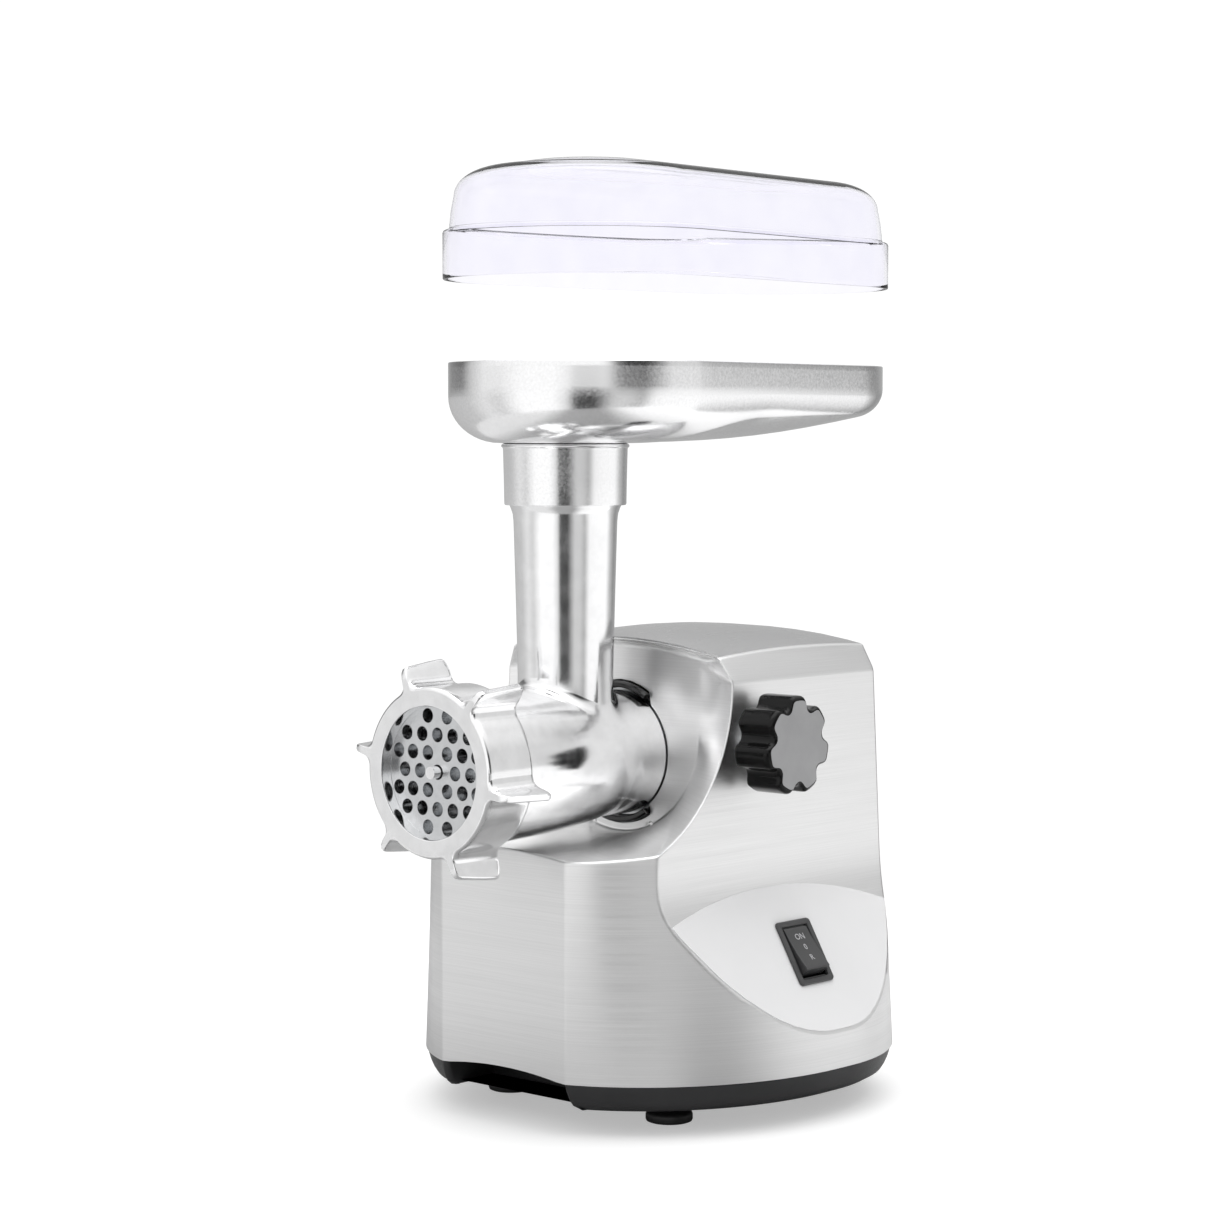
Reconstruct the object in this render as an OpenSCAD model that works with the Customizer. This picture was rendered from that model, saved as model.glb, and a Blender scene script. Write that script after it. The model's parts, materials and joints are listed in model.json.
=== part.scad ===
// Electric meat grinder, size 12: motor body, removable grinding head, hopper tray and lid.
// Millimetres. X is the switch side, Y runs from the outlet to the back, Z is up.
// Inside the modules Y is counted back from the front face of the ring nut.

/* [Body] */
// Width of the casing at its foot
body_w = 232; // [222:1:240]
// Distance from the ring nut's front face to the front panel
front_y = 50.5; // [48:0.5:54]
// Distance from the ring nut's front face to the flat back
back_y = 280; // [276:1:282]
// Width of the flat front panel
panel_w = 84; // [76:1:90]
// Width between the upright side faces
waist_w = 153; // [148:1:156]
// Height of the casing's lower edge
edge_z = 26; // [24:0.5:28]
// Height of the shelf under the head
shelf_z = 136; // [134:0.5:137]
// Height of the roof along its front edge
roof_z = 235.5; // [233:0.5:238]
// Thickness of the sheet casing
wall = 2; // [1.5:0.5:2.5]

/* [Grinding head] */
// Height of the auger axis
axis_z = 177.6; // [176:0.2:179]
// Outer radius of the ring nut
ring_r = 41.3; // [41:0.1:43]
// Length of the ring nut
ring_len = 30; // [28:1:32]
// Radius of the outlet in the ring nut
outlet_r = 32; // [30:0.5:33]
// Number of grip lugs on the ring nut
lug_count = 6; // [4:1:8]
// Diameter of the hole plate
plate_d = 70; // [68:1:70]
// Thickness of the hole plate
plate_t = 8; // [6:1:9]
// Spacing of the plate's holes
hole_pitch = 10.3; // [9.8:0.1:10.6]
// Diameter of the plate's holes
hole_d = 7.1; // [5:0.1:8]
// Distance from the ring nut's front face to the feed tube's axis
tube_y = 96; // [94:1:98]
// Inner radius of the feed tube
tube_bore_r = 21; // [19:0.5:21.5]

/* [Tray and lid] */
// Height of the tray's rim
rim_z = 374; // [370:1:380]
// Radius of the tray's deep end
deep_r = 70; // [66:1:72]
// Radius of the tray's shallow end
shallow_r = 58; // [52:1:60]
// Distance between the centres of the tray's two ends
tray_span = 146; // [130:1:150]
// Height of the lid's dome above its step
dome_h = 37; // [30:1:42]
// Depth of the lid's skirt below its step
skirt_h = 22; // [16:1:24]
// Height at which the lid is held above its seat on the tray
lid_lift = 63; // [0:1:90]

/* [Drive] */
// Teeth on the motor pinion
motor_pinion_teeth = 10; // [10:1:10]
// Gear module of the first stage
stage1_mod = 1; // [1:1:1]
// Teeth on the first gear
gear1_teeth = 50; // [50:1:50]
// Gear module of the second stage
stage2_mod = 1.25; // [1.25:0.25:1.25]
// Teeth on the second gear
gear2_teeth = 48; // [48:1:48]
// Gear module of the last stage
stage3_mod = 1.75; // [1.75:0.25:1.75]
// Teeth on the output gear
output_teeth = 42; // [42:1:42]
// Radius of the motor's stator
motor_r = 38; // [34:1:40]

/* [Switch and knob] */
// Diameter of the clamp knob over its lobes
knob_d = 49; // [44:1:52]
// Number of lobes on the clamp knob
knob_lobes = 7; // [5:1:8]
// Distance from the ring nut's front face to the knob's axis
knob_y = 150; // [148:1:154]
// Height of the knob's axis above the auger's axis
knob_rise = 9; // [0:1:10]
// Length of the switch bezel
bezel_len = 34; // [30:1:36]
// Width of the switch bezel
bezel_w = 26; // [22:1:28]

/* [Hidden] */

fine = 96;
blend = 32;
running_gap = 0.04;
hole_plate_row = hole_pitch * sin(60);

// Where the whole box is centred: the ring nut leads and the lid's shallow end trails.
lid_gap = 0.6;
lid_wall = 2;
deep_y = 113;
shallow_y = deep_y + tray_span;
lid_grow = lid_gap + lid_wall;
total_depth = shallow_y + shallow_r + lid_grow;

silver = "#d9dadb";
cast = "#e4e5e6";
steel = "#b9bcc0";
black = "#1d1d1f";
grey = "#8f9295";
brass = "#c9a24b";
copper = "#b66a3c";
clear = "#e6e4f055";
label = "#c9cbcd";

module placed() { translate([0, -total_depth / 2, 0]) children(); }
// A solid drawn along +Z is turned to run back along +Y from a given place.
module along_y(x, y, z) { translate([x, y, z]) rotate([-90, 0, 0]) children(); }
// A side view, drawn as [y, z], is spread across X.
module across_x(w) {
    translate([-w / 2, 0, 0]) rotate([90, 0, 90]) linear_extrude(w) children();
}
module rod_y(x, y, z, r, len) { along_y(x, y, z) cylinder(r = r, h = len, $fn = fine); }

function lerp(a, b, t) = a + (b - a) * t;
function bezier(p, t) = pow(1 - t, 3) * p[0] + 3 * pow(1 - t, 2) * t * p[1]
    + 3 * (1 - t) * t * t * p[2] + t * t * t * p[3];
function arc(c, r, a0, a1, n) =
    [for (i = [0:n]) c + r * [cos(lerp(a0, a1, i / n)), sin(lerp(a0, a1, i / n))]];
function reversed(p) = [for (i = [len(p) - 1:-1:0]) p[i]];
function flipped(p) = [for (q = p) [-q[0], q[1]]];

// ---------------------------------------------------------------- casing form
half_w = body_w / 2;
half_panel = panel_w / 2;
half_waist = waist_w / 2;
widest_y = 168;
tail_y = 180;
tail_len = 106;

// Right half of the plan, from the front's middle to the back's middle, set in by t.
function plan_half(t) = concat(
    [[0, front_y + t]],
    [for (i = [0:10]) bezier([
        [half_panel - t * 0.4, front_y + t], [half_w - 34 - t * 0.7, front_y + 15.5 + t],
        [half_w - t, front_y + 61.5], [half_w - t, widest_y]], i / 10)],
    [for (i = [0:12]) let (a = i * 90 / 12)
        [(half_w - t) * cos(a), min(tail_y + (tail_len - t) * sin(a), back_y - t)]]);
module plan(t) {
    right = plan_half(t);
    polygon(concat(right, reversed(flipped(right))));
}

// Side view of the casing: panel, shelf, hollow front, crowned roof and rounded back.
hollow_c = [45, 216];
hollow_r = 89;
roof_rise = 4.5;
crown_y = 190;
function hollow_arc(t) =
    let (a = asin((shelf_z - hollow_c[1]) / hollow_r))
    arc(hollow_c, hollow_r + t, a, 0, 12);
function side_view(t) = concat(
    [[0, edge_z - t * 2], [0, shelf_z - t]],
    hollow_arc(t),
    [[131 + t, roof_z - t]],
    [for (y = [145:15:220])
        [y, roof_z + roof_rise * (1 - pow((y - crown_y) / (crown_y - 131), 2)) - t]],
    arc([236, 205], 33 - t, 75, 35, 4),
    [[back_y - t + 1, 195], [back_y - t + 1, edge_z - t * 2]]);

// Front view of the right half: flared foot, tilted control face, upright side, shoulder.
tilt_x = 82;
tilt_z = 100;
tilt_slope = 0.587;
function tilt_at(z) = tilt_x + tilt_slope * (tilt_z - z);
shoulder_z = 217;
shoulder_x = 70;
eaves_z = 231;
function front_half(t) = [
    [half_w - t, edge_z - t * 2], [half_w - t, tilt_z - (half_w - tilt_x) / tilt_slope - t * 0.4],
    [tilt_x - t, tilt_z], [half_waist + 2.7 - t, 105], [half_waist + 1.1 - t, 110],
    [half_waist + 0.4 - t, 118], [half_waist - t, 130], [half_waist - t, shoulder_z],
    [shoulder_x - t, eaves_z - t * 0.6],
    [shoulder_x * 0.6, eaves_z + 6 - t], [shoulder_x * 0.25, eaves_z + 8.8 - t],
    [0, eaves_z + 9.2 - t]];

module pocket(t) {
    // The scooped front that the head stands in, ending at the flat flange face.
    pocket_r = 52 - t;
    intersection() {
        across_x(body_w) polygon([[0, shelf_z - 20], [flange_y, shelf_z - 20],
            [flange_y, hollow_c[1]], [131, roof_z + 8], [0, roof_z + 8]]);
        union() {
            rod_y(0, 0, pocket_z, pocket_r, flange_y + 5);
            translate([-pocket_r, 0, pocket_z]) cube([pocket_r * 2, flange_y + 5, 80]);
        }
    }
}
flange_y = 137;
pocket_z = 189;

module casing_form(t) {
    intersection() {
        translate([0, 0, edge_z - t * 2]) linear_extrude(250) plan(t);
        across_x(body_w + 20) polygon(side_view(t));
        cross_section(t);
    }
}
// The front view, spread over the whole depth.
module cross_section(t) {
    right = front_half(t);
    translate([0, back_y + 20, 0]) rotate([90, 0, 0]) linear_extrude(back_y + 40)
        polygon(concat(right, reversed(flipped(right))));
}

arch_r = 260;
arch_rise = 3;
module casing() {
    color(silver) placed() difference() {
        casing_form(0);
        pocket(0);
        difference() {
            casing_form(wall);
            translate([0, wall, 0]) pocket(-wall);
        }
        // opening for the socket and its two bayonet lugs
        rod_y(0, flange_y - 10, axis_z, socket_r + 0.1, 30);
        // arch along the lower edge of the front panel
        along_y(0, front_y - 5, edge_z + arch_rise - arch_r)
            cylinder(r = arch_r, h = 12, $fn = 360);
        // holes for the clamp bush, the switch and the cable inlet
        at_knob(0) cylinder(r = bush_r, h = 120, $fn = fine);
        switch_place() translate([-switch_len / 2, -switch_w / 2, -20])
            cube([switch_len, switch_w, 40]);
        rod_y(inlet_x, back_y - 10, inlet_z, inlet_r, 20);
        for (i = [0:vent_count - 1]) translate([-vent_w / 2, back_y - 10, vent_z + i * vent_step])
            cube([vent_w, 20, vent_h]);
    }
}

vent_count = 7;
vent_w = 50;
vent_h = 4;
vent_z = 112;
vent_step = 9;
panel_t = 1.2;
module rear_panel() {
    // Louvred cover on the flat back, with a hood over each vent slot.
    top = vent_z + vent_count * vent_step + 3;
    color(grey) placed() difference() {
        union() {
            translate([-31, back_y, vent_z - 9]) cube([62, panel_t, top - vent_z + 9]);
            for (i = [0:vent_count - 1]) translate([0, back_y, vent_z + i * vent_step])
                across_x(vent_w + 4) polygon([[0, -1], [0, vent_h + 1.2],
                    [panel_t + 2.2, vent_h - 1.4], [panel_t + 2.2, vent_h - 2.2]]);
        }
        for (i = [0:vent_count - 1]) translate([0, back_y, vent_z + i * vent_step])
            across_x(vent_w) polygon([[-1, 0], [-1, vent_h], [0.6, vent_h],
                [panel_t + 1.6, vent_h - 2.2], [4, -1], [4, -3], [panel_t, -0.5]]);
    }
}

// The eye-shaped label lies on the tilted face; its upper edge is an arc.
label_t = 0.6;
label_c = [160, -146.5];
label_r = 260;
module side_panel() {
    color(label) placed() difference() {
        intersection() {
            translate([0, 0, edge_z]) linear_extrude(120) plan(0);
            translate([body_w / 2, 0, 0]) across_x(body_w)
                polygon(concat([[60, 30]], arc(label_c, label_r, 112.6, 68.6, 14), [[255, 30]]));
            cross_section(-label_t);
        }
        cross_section(0);
        switch_place() translate([-switch_len / 2, -switch_w / 2, -20])
            cube([switch_len, switch_w, 40]);
    }
}

// ---------------------------------------------------------------- base and feet
base_z = 12;
recess_depth = 35;
recess_w = panel_w - 6;
recess_roof = 32;
foot_r = 11.7;
foot_places = [for (sx = [-1, 1], y = [112.7, 240]) [sx * (y < 200 ? 54.2 : 50), y]];
module base() {
    color(black) placed() difference() {
        union() {
            for (k = [0:2]) translate([0, 0, base_z + k * 4])
                linear_extrude(k == 2 ? edge_z - base_z - 8 : 4.01) plan(8 - k * 3.4);
            translate([0, 0, edge_z]) linear_extrude(6) plan(wall + 0.2);
        }
        difference() {
            translate([0, 0, base_z + 3]) linear_extrude(40) plan(11);
            for (p = foot_places) translate([p[0], p[1], 0]) cylinder(r = 9, h = 24, $fn = fine);
            translate([-recess_w / 2 - 2, front_y, 0])
                cube([recess_w + 4, recess_depth + 2, recess_roof]);
        }
        translate([-recess_w / 2, front_y - 5, base_z - 1])
            cube([recess_w, recess_depth + 5, recess_roof - base_z - 1]);
        for (p = foot_places) translate([p[0], p[1], 0]) cylinder(r = 2.6, h = 40, $fn = fine);
        for (p = base_screw_places) translate([p[0], p[1], 0])
            cylinder(r = 2.1, h = 40, $fn = fine);
        for (i = [0:8]) translate([-30, 140 + i * 10, 0]) cube([60, 4, base_z + 10]);
    }
}
base_screw_places = [for (sx = [-1, 1], y = [100, 262]) [sx * (y < 200 ? 72 : 30), y]];
module base_screws() {
    color(steel) placed() for (p = base_screw_places) translate([p[0], p[1], base_z - 1.5]) {
        cylinder(r = 3.6, h = 1.5, $fn = fine);
        cylinder(r = 2, h = 14, $fn = fine);
    }
}
module feet() {
    color(black) placed() for (p = foot_places) translate([p[0], p[1], 0]) difference() {
        rotate_extrude($fn = fine) polygon([[0, 0], [foot_r - 1, 0], [foot_r, 1], [foot_r, 4],
            [foot_r - 1.2, 5.2], [7.4, 6.2], [6.8, 8], [6.8, base_z], [0, base_z]]);
        translate([0, 0, -1]) cylinder(r = 2.6, h = 20, $fn = fine);
        translate([0, 0, -1]) cylinder(r = 5, h = 5, $fn = fine);
    }
}
module foot_screws() {
    color(steel) placed() for (p = foot_places) translate([p[0], p[1], 2.4]) {
        cylinder(r = 4.4, h = 1.6, $fn = fine);
        cylinder(r = 2.5, h = 18, $fn = fine);
    }
}

// ---------------------------------------------------------------- head socket
socket_r = 38.6;
neck_r = 28;
neck_end = 172;
socket_end = 180;
module socket() {
    color(steel) placed() difference() {
        union() {
            rod_y(0, flange_y + 6, axis_z, socket_r - 1.6, socket_end - flange_y - 6);
            rod_y(0, flange_y + wall, axis_z, socket_r + 8, 5);
        }
        rod_y(0, flange_y - 1, axis_z, neck_r + running_gap, 60);
        at_knob(0) cylinder(r = bush_r, h = 120, $fn = fine);
    }
}
lug_half = 38;
module ring_sector(r0, r1, len, mid, half) {
    // Part of a ring about Z, from mid - half to mid + half degrees.
    rotate([0, 0, mid - half]) rotate_extrude(angle = 2 * half, $fn = fine)
        translate([r0, 0]) square([r1 - r0, len]);
}
module bayonet_ring() {
    color(black) placed() {
        along_y(0, flange_y + 0.2, axis_z) difference() {
            cylinder(r = socket_r, h = 1.7, $fn = fine);
            translate([0, 0, -1]) cylinder(r = head_collar_r + 0.5, h = 4, $fn = fine);
        }
        for (a = [90, 270]) along_y(0, flange_y - 3.5, axis_z)
            ring_sector(head_collar_r + 0.9, socket_r - 0.4, 4.5, a, lug_half);
    }
}

// ---------------------------------------------------------------- grinding head
head_collar_r = 31.5;
thread_r = 38.3;
chamber_r = 27;
ring_lip = 6.5;
knife_t = 10;
throat_y = ring_lip + plate_t + knife_t;
tube_top = 333;
tube_mouth_r = 28.5;
module head() {
    color(cast) placed() difference() {
        union() {
            along_y(0, 0, axis_z) rotate_extrude($fn = fine) polygon(concat(
                [[0, ring_lip + 3.5], [thread_r - 1, ring_lip + 3.5], [thread_r, ring_lip + 4.5],
                [thread_r, ring_len - 1]],
                [[37.6, ring_len + 1], [37.2, 55], [36.2, 75], [34.6, 95], [32.4, 110]],
                [[head_collar_r, 115], [head_collar_r, flange_y - 0.2], [neck_r, flange_y - 0.2],
                [neck_r, neck_end], [0, neck_end]]));
            translate([0, tube_y, axis_z]) rotate_extrude($fn = fine) polygon([[0, 0],
                [27.5, 0], [27, 20], [25, 30], [23.3, 38], [23.2, 44], [25.7, 114],
                [26.6, 120], [tube_mouth_r, 126], [tube_mouth_r, tube_top - axis_z],
                [0, tube_top - axis_z]]);
        }
        rod_y(0, 0, axis_z, plate_d / 2 + 0.1, throat_y);
        rod_y(0, 0, axis_z, chamber_r, 128);
        rod_y(0, 0, axis_z, shank_r + running_gap, 200);
        rod_y(0, 150, axis_z, 17, 60);
        translate([0, tube_y, axis_z]) cylinder(r = tube_bore_r, h = 200, $fn = fine);
        // seat for the plate's key
        rod_y(0, ring_lip, axis_z - plate_d / 2, 2.5, plate_t + 1);
    }
}

shank_r = 11;
core_r = 9;
auger_pin_r = 3;
auger_turns = 3.2;
module auger() {
    flight_len = 126 - throat_y;
    color(cast) placed() union() {
        rod_y(0, throat_y, axis_z, core_r, flight_len);
        rod_y(0, 125, axis_z, shank_r, 27);
        rod_y(0, throat_y - knife_t, axis_z, 5, knife_t);
        rod_y(0, 1.5, axis_z, auger_pin_r, throat_y);
        along_y(0, throat_y + 1, axis_z) linear_extrude(flight_len - 4,
            twist = -360 * auger_turns, slices = 48)
            translate([(chamber_r - 0.6) / 2, 0]) square([chamber_r - 0.6, 5], center = true);
        // square tail that the drive shaft turns
        along_y(0, 150, axis_z) rotate([0, 0, 45]) translate([-7, -7, 0]) cube([14, 14, 32]);
    }
}
module auger_washer() {
    color(brass) placed() along_y(0, 126.2, axis_z) difference() {
        cylinder(r = 20, h = 1.6, $fn = fine);
        translate([0, 0, -1]) cylinder(r = shank_r + 0.05, h = 4, $fn = fine);
    }
}
module knife() {
    blade_w = 9;
    color(steel) placed() along_y(0, ring_lip + plate_t, axis_z) difference() {
        union() {
            cylinder(r = 12, h = knife_t - 0.2, $fn = fine);
            for (k = [0:3]) rotate([0, 0, k * 90 + 12]) hull() {
                translate([10, -blade_w / 2, 0]) cube([22, blade_w, 2]);
                translate([10, 0, 0]) cube([20, blade_w / 2, knife_t - 2]);
            }
        }
        translate([0, 0, -1]) cylinder(r = 5, h = 20, $fn = fine);
    }
}
// Plate holes: a middle row and rows above and below it, each [row, offsets].
hole_rows = [[0, [1.15, 2.15]], [1, [0.63, 1.62, 2.55]], [2, [0, 1, 2]], [3, [0.63]]];
hole_places = [for (row = hole_rows, up = row[0] == 0 ? [1] : [-1, 1], off = row[1],
    side = off == 0 ? [1] : [-1, 1]) [side * off * hole_pitch, up * row[0] * hole_plate_row]];
module hole_plate() {
    color(steel) placed() along_y(0, ring_lip + running_gap, axis_z) difference() {
        cylinder(r = plate_d / 2, h = plate_t - running_gap, $fn = fine);
        for (p = hole_places) translate([p[0], p[1], -1])
            cylinder(d = hole_d, h = plate_t + 2, $fn = blend);
        translate([0, 0, -1]) cylinder(r = 3.65, h = plate_t + 2, $fn = fine);
        translate([0, plate_d / 2, -1]) cylinder(r = 2.5, h = plate_t + 2, $fn = fine);
    }
}
module plate_key() {
    color(steel) placed() rod_y(0, ring_lip + 1, axis_z - plate_d / 2, 2.4, plate_t - 1);
}
lug_t = 3.6;
module ring_nut() {
    lug_turn = 10;
    color(cast) placed() along_y(0, 0, axis_z) difference() {
        union() {
            rotate_extrude($fn = fine) polygon([[outlet_r, 0], [ring_r - 1.5, 0],
                [ring_r, 1.5], [ring_r, ring_len - 1], [ring_r - 1, ring_len],
                [thread_r + running_gap, ring_len], [thread_r + running_gap, ring_lip],
                [outlet_r, ring_lip]]);
            for (k = [0:lug_count - 1]) rotate([0, 0, lug_turn + k * 360 / lug_count])
                translate([0, lug_t / 2, 0]) rotate([90, 0, 0]) linear_extrude(lug_t)
                    polygon([[ring_r - 2, 1], [ring_r + 8, 1], [ring_r + 10, 3],
                        [ring_r + 13, ring_len - 3], [ring_r + 12, ring_len - 1],
                        [ring_r - 2, ring_len - 1]]);
        }
        translate([0, 0, ring_lip]) cylinder(r = thread_r + running_gap, h = 60, $fn = fine);
    }
}

// ---------------------------------------------------------------- tray and lid
sleeve_z = 303.4;
floor_z = 334;
tray_wall = 1.8;
module tray_form(t) {
    // Straight wall, then a floor that falls to the deep end over the tube.
    hull() {
        for (e = [[deep_y, deep_r], [shallow_y, shallow_r]]) {
            translate([0, e[0], rim_z - 18]) cylinder(r = e[1] - t, h = 18 + t * 2, $fn = 64);
            translate([0, e[0], rim_z - 22 + t]) cylinder(r = e[1] - 5 - t, h = 4, $fn = 64);
        }
        translate([0, deep_y - 4, floor_z + 11 + t]) cylinder(r = deep_r - 14 - t, h = 4, $fn = 64);
        translate([0, deep_y - 7, floor_z + 3 + t]) cylinder(r = deep_r - 26 - t, h = 4, $fn = 64);
        translate([0, tube_y + 4, floor_z + t]) cylinder(r = 34 - t, h = 2, $fn = 64);
    }
}
module tray() {
    color(cast) placed() difference() {
        intersection() {
            tray_form(0);
            translate([-200, -50, 0]) cube([400, 500, rim_z]);
        }
        tray_form(tray_wall);
        translate([0, tube_y, sleeve_z]) cylinder(r = collar_inner_r, h = 60, $fn = fine);
    }
}
// The collar is pressed into the tray's floor and slips over the mouth of the feed tube.
collar_inner_r = tube_bore_r + 1;
module tray_collar() {
    color(cast) placed() translate([0, tube_y, 0]) difference() {
        union() {
            translate([0, 0, sleeve_z])
                cylinder(r1 = 29.8, r2 = 31.2, h = floor_z - sleeve_z, $fn = fine);
            translate([0, 0, sleeve_z])
                cylinder(r = collar_inner_r, h = floor_z + tray_wall - sleeve_z, $fn = fine);
        }
        translate([0, 0, sleeve_z - 1])
            cylinder(r = tube_mouth_r + running_gap, h = tube_top - sleeve_z + 1, $fn = fine);
        translate([0, 0, sleeve_z]) cylinder(r = tube_bore_r + 0.3, h = 60, $fn = fine);
    }
}
module lid_form(grow, low, high, t) {
    hull() for (e = [[deep_y, deep_r], [shallow_y, shallow_r]]) {
        translate([0, e[0], low]) cylinder(r = e[1] + grow, h = high - low - 10, $fn = 64);
        translate([0, e[0], high - 10]) cylinder(r = e[1] + grow - 3, h = 4, $fn = 64);
        translate([0, e[0], high - 4]) cylinder(r = e[1] + grow - 10, h = 2, $fn = 64);
        translate([0, e[0], high - 1.5]) cylinder(r = e[1] + grow - 20, h = 1.5, $fn = 64);
    }
}
module lid_skirt_form(grow, low, high) {
    hull() for (e = [[deep_y, deep_r], [shallow_y, shallow_r]])
        translate([0, e[0], low]) cylinder(r = e[1] + grow, h = high - low, $fn = 64);
}
module lid() {
    step_z = rim_z + 0.3 + lid_wall;
    color(clear) placed() translate([0, 0, lid_lift]) difference() {
        union() {
            lid_skirt_form(lid_grow, rim_z - skirt_h, step_z);
            lid_form(-0.6, step_z - 1, step_z + dome_h - lid_wall, 0);
        }
        lid_skirt_form(lid_gap, rim_z - skirt_h - 1, rim_z + 0.3);
        lid_form(-0.6 - lid_wall, rim_z - 1, step_z + dome_h - lid_wall * 2, 0);
    }
}

// ---------------------------------------------------------------- clamp knob
bush_r = 8;
screw_r = 5;
knob_in = 84;
knob_len = 22;
screw_tip = 31;
module at_knob(x) {
    translate([x, knob_y, axis_z + knob_rise]) rotate([0, 90, 0]) children();
}
module clamp_bush() {
    // Threaded bush fixed in the socket's wall, with a flange outside the casing.
    color(steel) placed() difference() {
        union() {
            at_knob(33) cylinder(r = bush_r - 0.05, h = half_waist - 33 + 1, $fn = fine);
            at_knob(half_waist) cylinder(r = 11, h = 2.5, $fn = fine);
        }
        at_knob(20) cylinder(r = screw_r + running_gap, h = 80, $fn = fine);
    }
}
module clamp_screw() {
    color(steel) placed() union() {
        at_knob(screw_tip) cylinder(r = screw_r, h = knob_in + 12 - screw_tip, $fn = fine);
        at_knob(half_waist + 3.2) cylinder(r = 9, h = knob_in - half_waist - 3.2, $fn = fine);
    }
}
module knob_2d(r) {
    lobe_r = 5.6;
    difference() {
        union() {
            circle(r = r - 3.5, $fn = fine);
            for (k = [0:knob_lobes - 1]) rotate(k * 360 / knob_lobes)
                translate([r - lobe_r, 0]) circle(r = lobe_r, $fn = fine);
        }
        for (k = [0:knob_lobes - 1]) rotate((k + 0.5) * 360 / knob_lobes)
            translate([r + 1.6, 0]) circle(r = 5.2, $fn = fine);
    }
}
module knob() {
    r = knob_d / 2;
    color(black) placed() at_knob(knob_in) difference() {
        intersection() {
            linear_extrude(knob_len) knob_2d(r);
            rotate_extrude($fn = fine) polygon([[0, 0], [r - 1, 0], [r + 1, 2],
                [r + 1, knob_len - 3.5], [r - 2.5, knob_len], [0, knob_len]]);
        }
        translate([0, 0, -1]) cylinder(r = screw_r, h = 13, $fn = fine);
    }
}
module clamp_pad() {
    color(brass) placed() difference() {
        at_knob(neck_r - 4) cylinder(r = 4.6, h = screw_tip - neck_r + 4, $fn = fine);
        rod_y(0, knob_y - 10, axis_z, neck_r + 0.1, 20);
    }
}

// ---------------------------------------------------------------- switch
switch_y = 169;
switch_z = 81;
switch_tilt = 30.4;
switch_len = 28;
switch_w = 21.5;
// Local frame on the tilted face: X down the face, Y back, Z straight out of it.
module switch_place() {
    translate([tilt_at(switch_z), switch_y, switch_z]) rotate([0, 90 - switch_tilt, 0]) children();
}
module switch_frame() {
    color(black) placed() switch_place() difference() {
        translate([-bezel_len / 2, -bezel_w / 2, label_t + 0.05])
            cube([bezel_len, bezel_w, 2.2]);
        translate([-14, -10, -5]) cube([28, 20, 20]);
    }
}
module switch_body() {
    color("#2a2a2c") placed() switch_place() difference() {
        translate([-switch_len / 2 + 0.2, -switch_w / 2 + 0.2, -24])
            cube([switch_len - 0.4, switch_w - 0.4, 24 + label_t]);
        translate([-13.2, -9.6, -9]) cube([26.4, 19.2, 20]);
        translate([0, 20, rocker_pin_z]) rotate([90, 0, 0])
            cylinder(r = rocker_pin_r, h = 40, $fn = fine);
    }
}
rocker_pin_z = -3;
rocker_pin_r = 1.5;
rocker_tilt = 8;
module rocker() {
    color(black) placed() switch_place() difference() {
        translate([0, 0, rocker_pin_z]) rotate([0, -rocker_tilt, 0]) difference() {
            translate([0, 9, 0]) rotate([90, 0, 0]) linear_extrude(18) polygon([[-12, -1.2],
                [-12.2, 5.8], [0, 5.2], [12.2, 5.8], [12, -1.2], [3, -3], [-3, -3]]);
            translate([0, 20, 0]) rotate([90, 0, 0])
                cylinder(r = rocker_pin_r + running_gap, h = 40, $fn = fine);
        }
    }
}
module rocker_pin() {
    color(steel) placed() switch_place() translate([0, 10.4, rocker_pin_z]) rotate([90, 0, 0])
        cylinder(r = rocker_pin_r, h = 20.8, $fn = fine);
}

// ---------------------------------------------------------------- gears
pressure = 25;
function involute(base_r, a) = base_r * [cos(a) + a * PI / 180 * sin(a),
    sin(a) - a * PI / 180 * cos(a)];
// One gear in the XY plane, a tooth centred on +X; teeth are thinned by the backlash.
module gear_2d(teeth, mod, bore, backlash = 0.12) {
    pitch_r = teeth * mod / 2;
    base_r = pitch_r * cos(pressure);
    tip_r = pitch_r + 0.8 * mod;
    root_r = pitch_r - 1.05 * mod;
    inv_pitch = (tan(pressure) - pressure * PI / 180) * 180 / PI;
    half = 90 / teeth - backlash * 90 / (PI * pitch_r) + inv_pitch;
    a0 = root_r > base_r ? sqrt(pow(root_r / base_r, 2) - 1) * 180 / PI : 0;
    a1 = sqrt(pow(tip_r / base_r, 2) - 1) * 180 / PI;
    flank = [for (i = [0:4]) involute(base_r, lerp(a0, a1, i / 4))];
    turned = [for (p = flank) [p[0] * cos(-half) - p[1] * sin(-half),
        p[0] * sin(-half) + p[1] * cos(-half)]];
    tooth = concat([root_r * [cos(half), -sin(half)]], turned,
        reversed([for (p = turned) [p[0], -p[1]]]), [root_r * [cos(half), sin(half)]]);
    difference() {
        polygon([for (k = [0:teeth - 1], p = tooth) let (a = k * 360 / teeth)
            [p[0] * cos(a) - p[1] * sin(a), p[0] * sin(a) + p[1] * cos(a)]]);
        if (bore > 0) circle(r = bore, $fn = fine);
    }
}
module gear(teeth, mod, bore, width) { linear_extrude(width) gear_2d(teeth, mod, bore); }

stage1_dist = (motor_pinion_teeth + gear1_teeth) * stage1_mod / 2;
pinion2_teeth = 12;
stage2_dist = (pinion2_teeth + gear2_teeth) * stage2_mod / 2;
pinion3_teeth = 12;
stage3_dist = (pinion3_teeth + output_teeth) * stage3_mod / 2;
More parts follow.
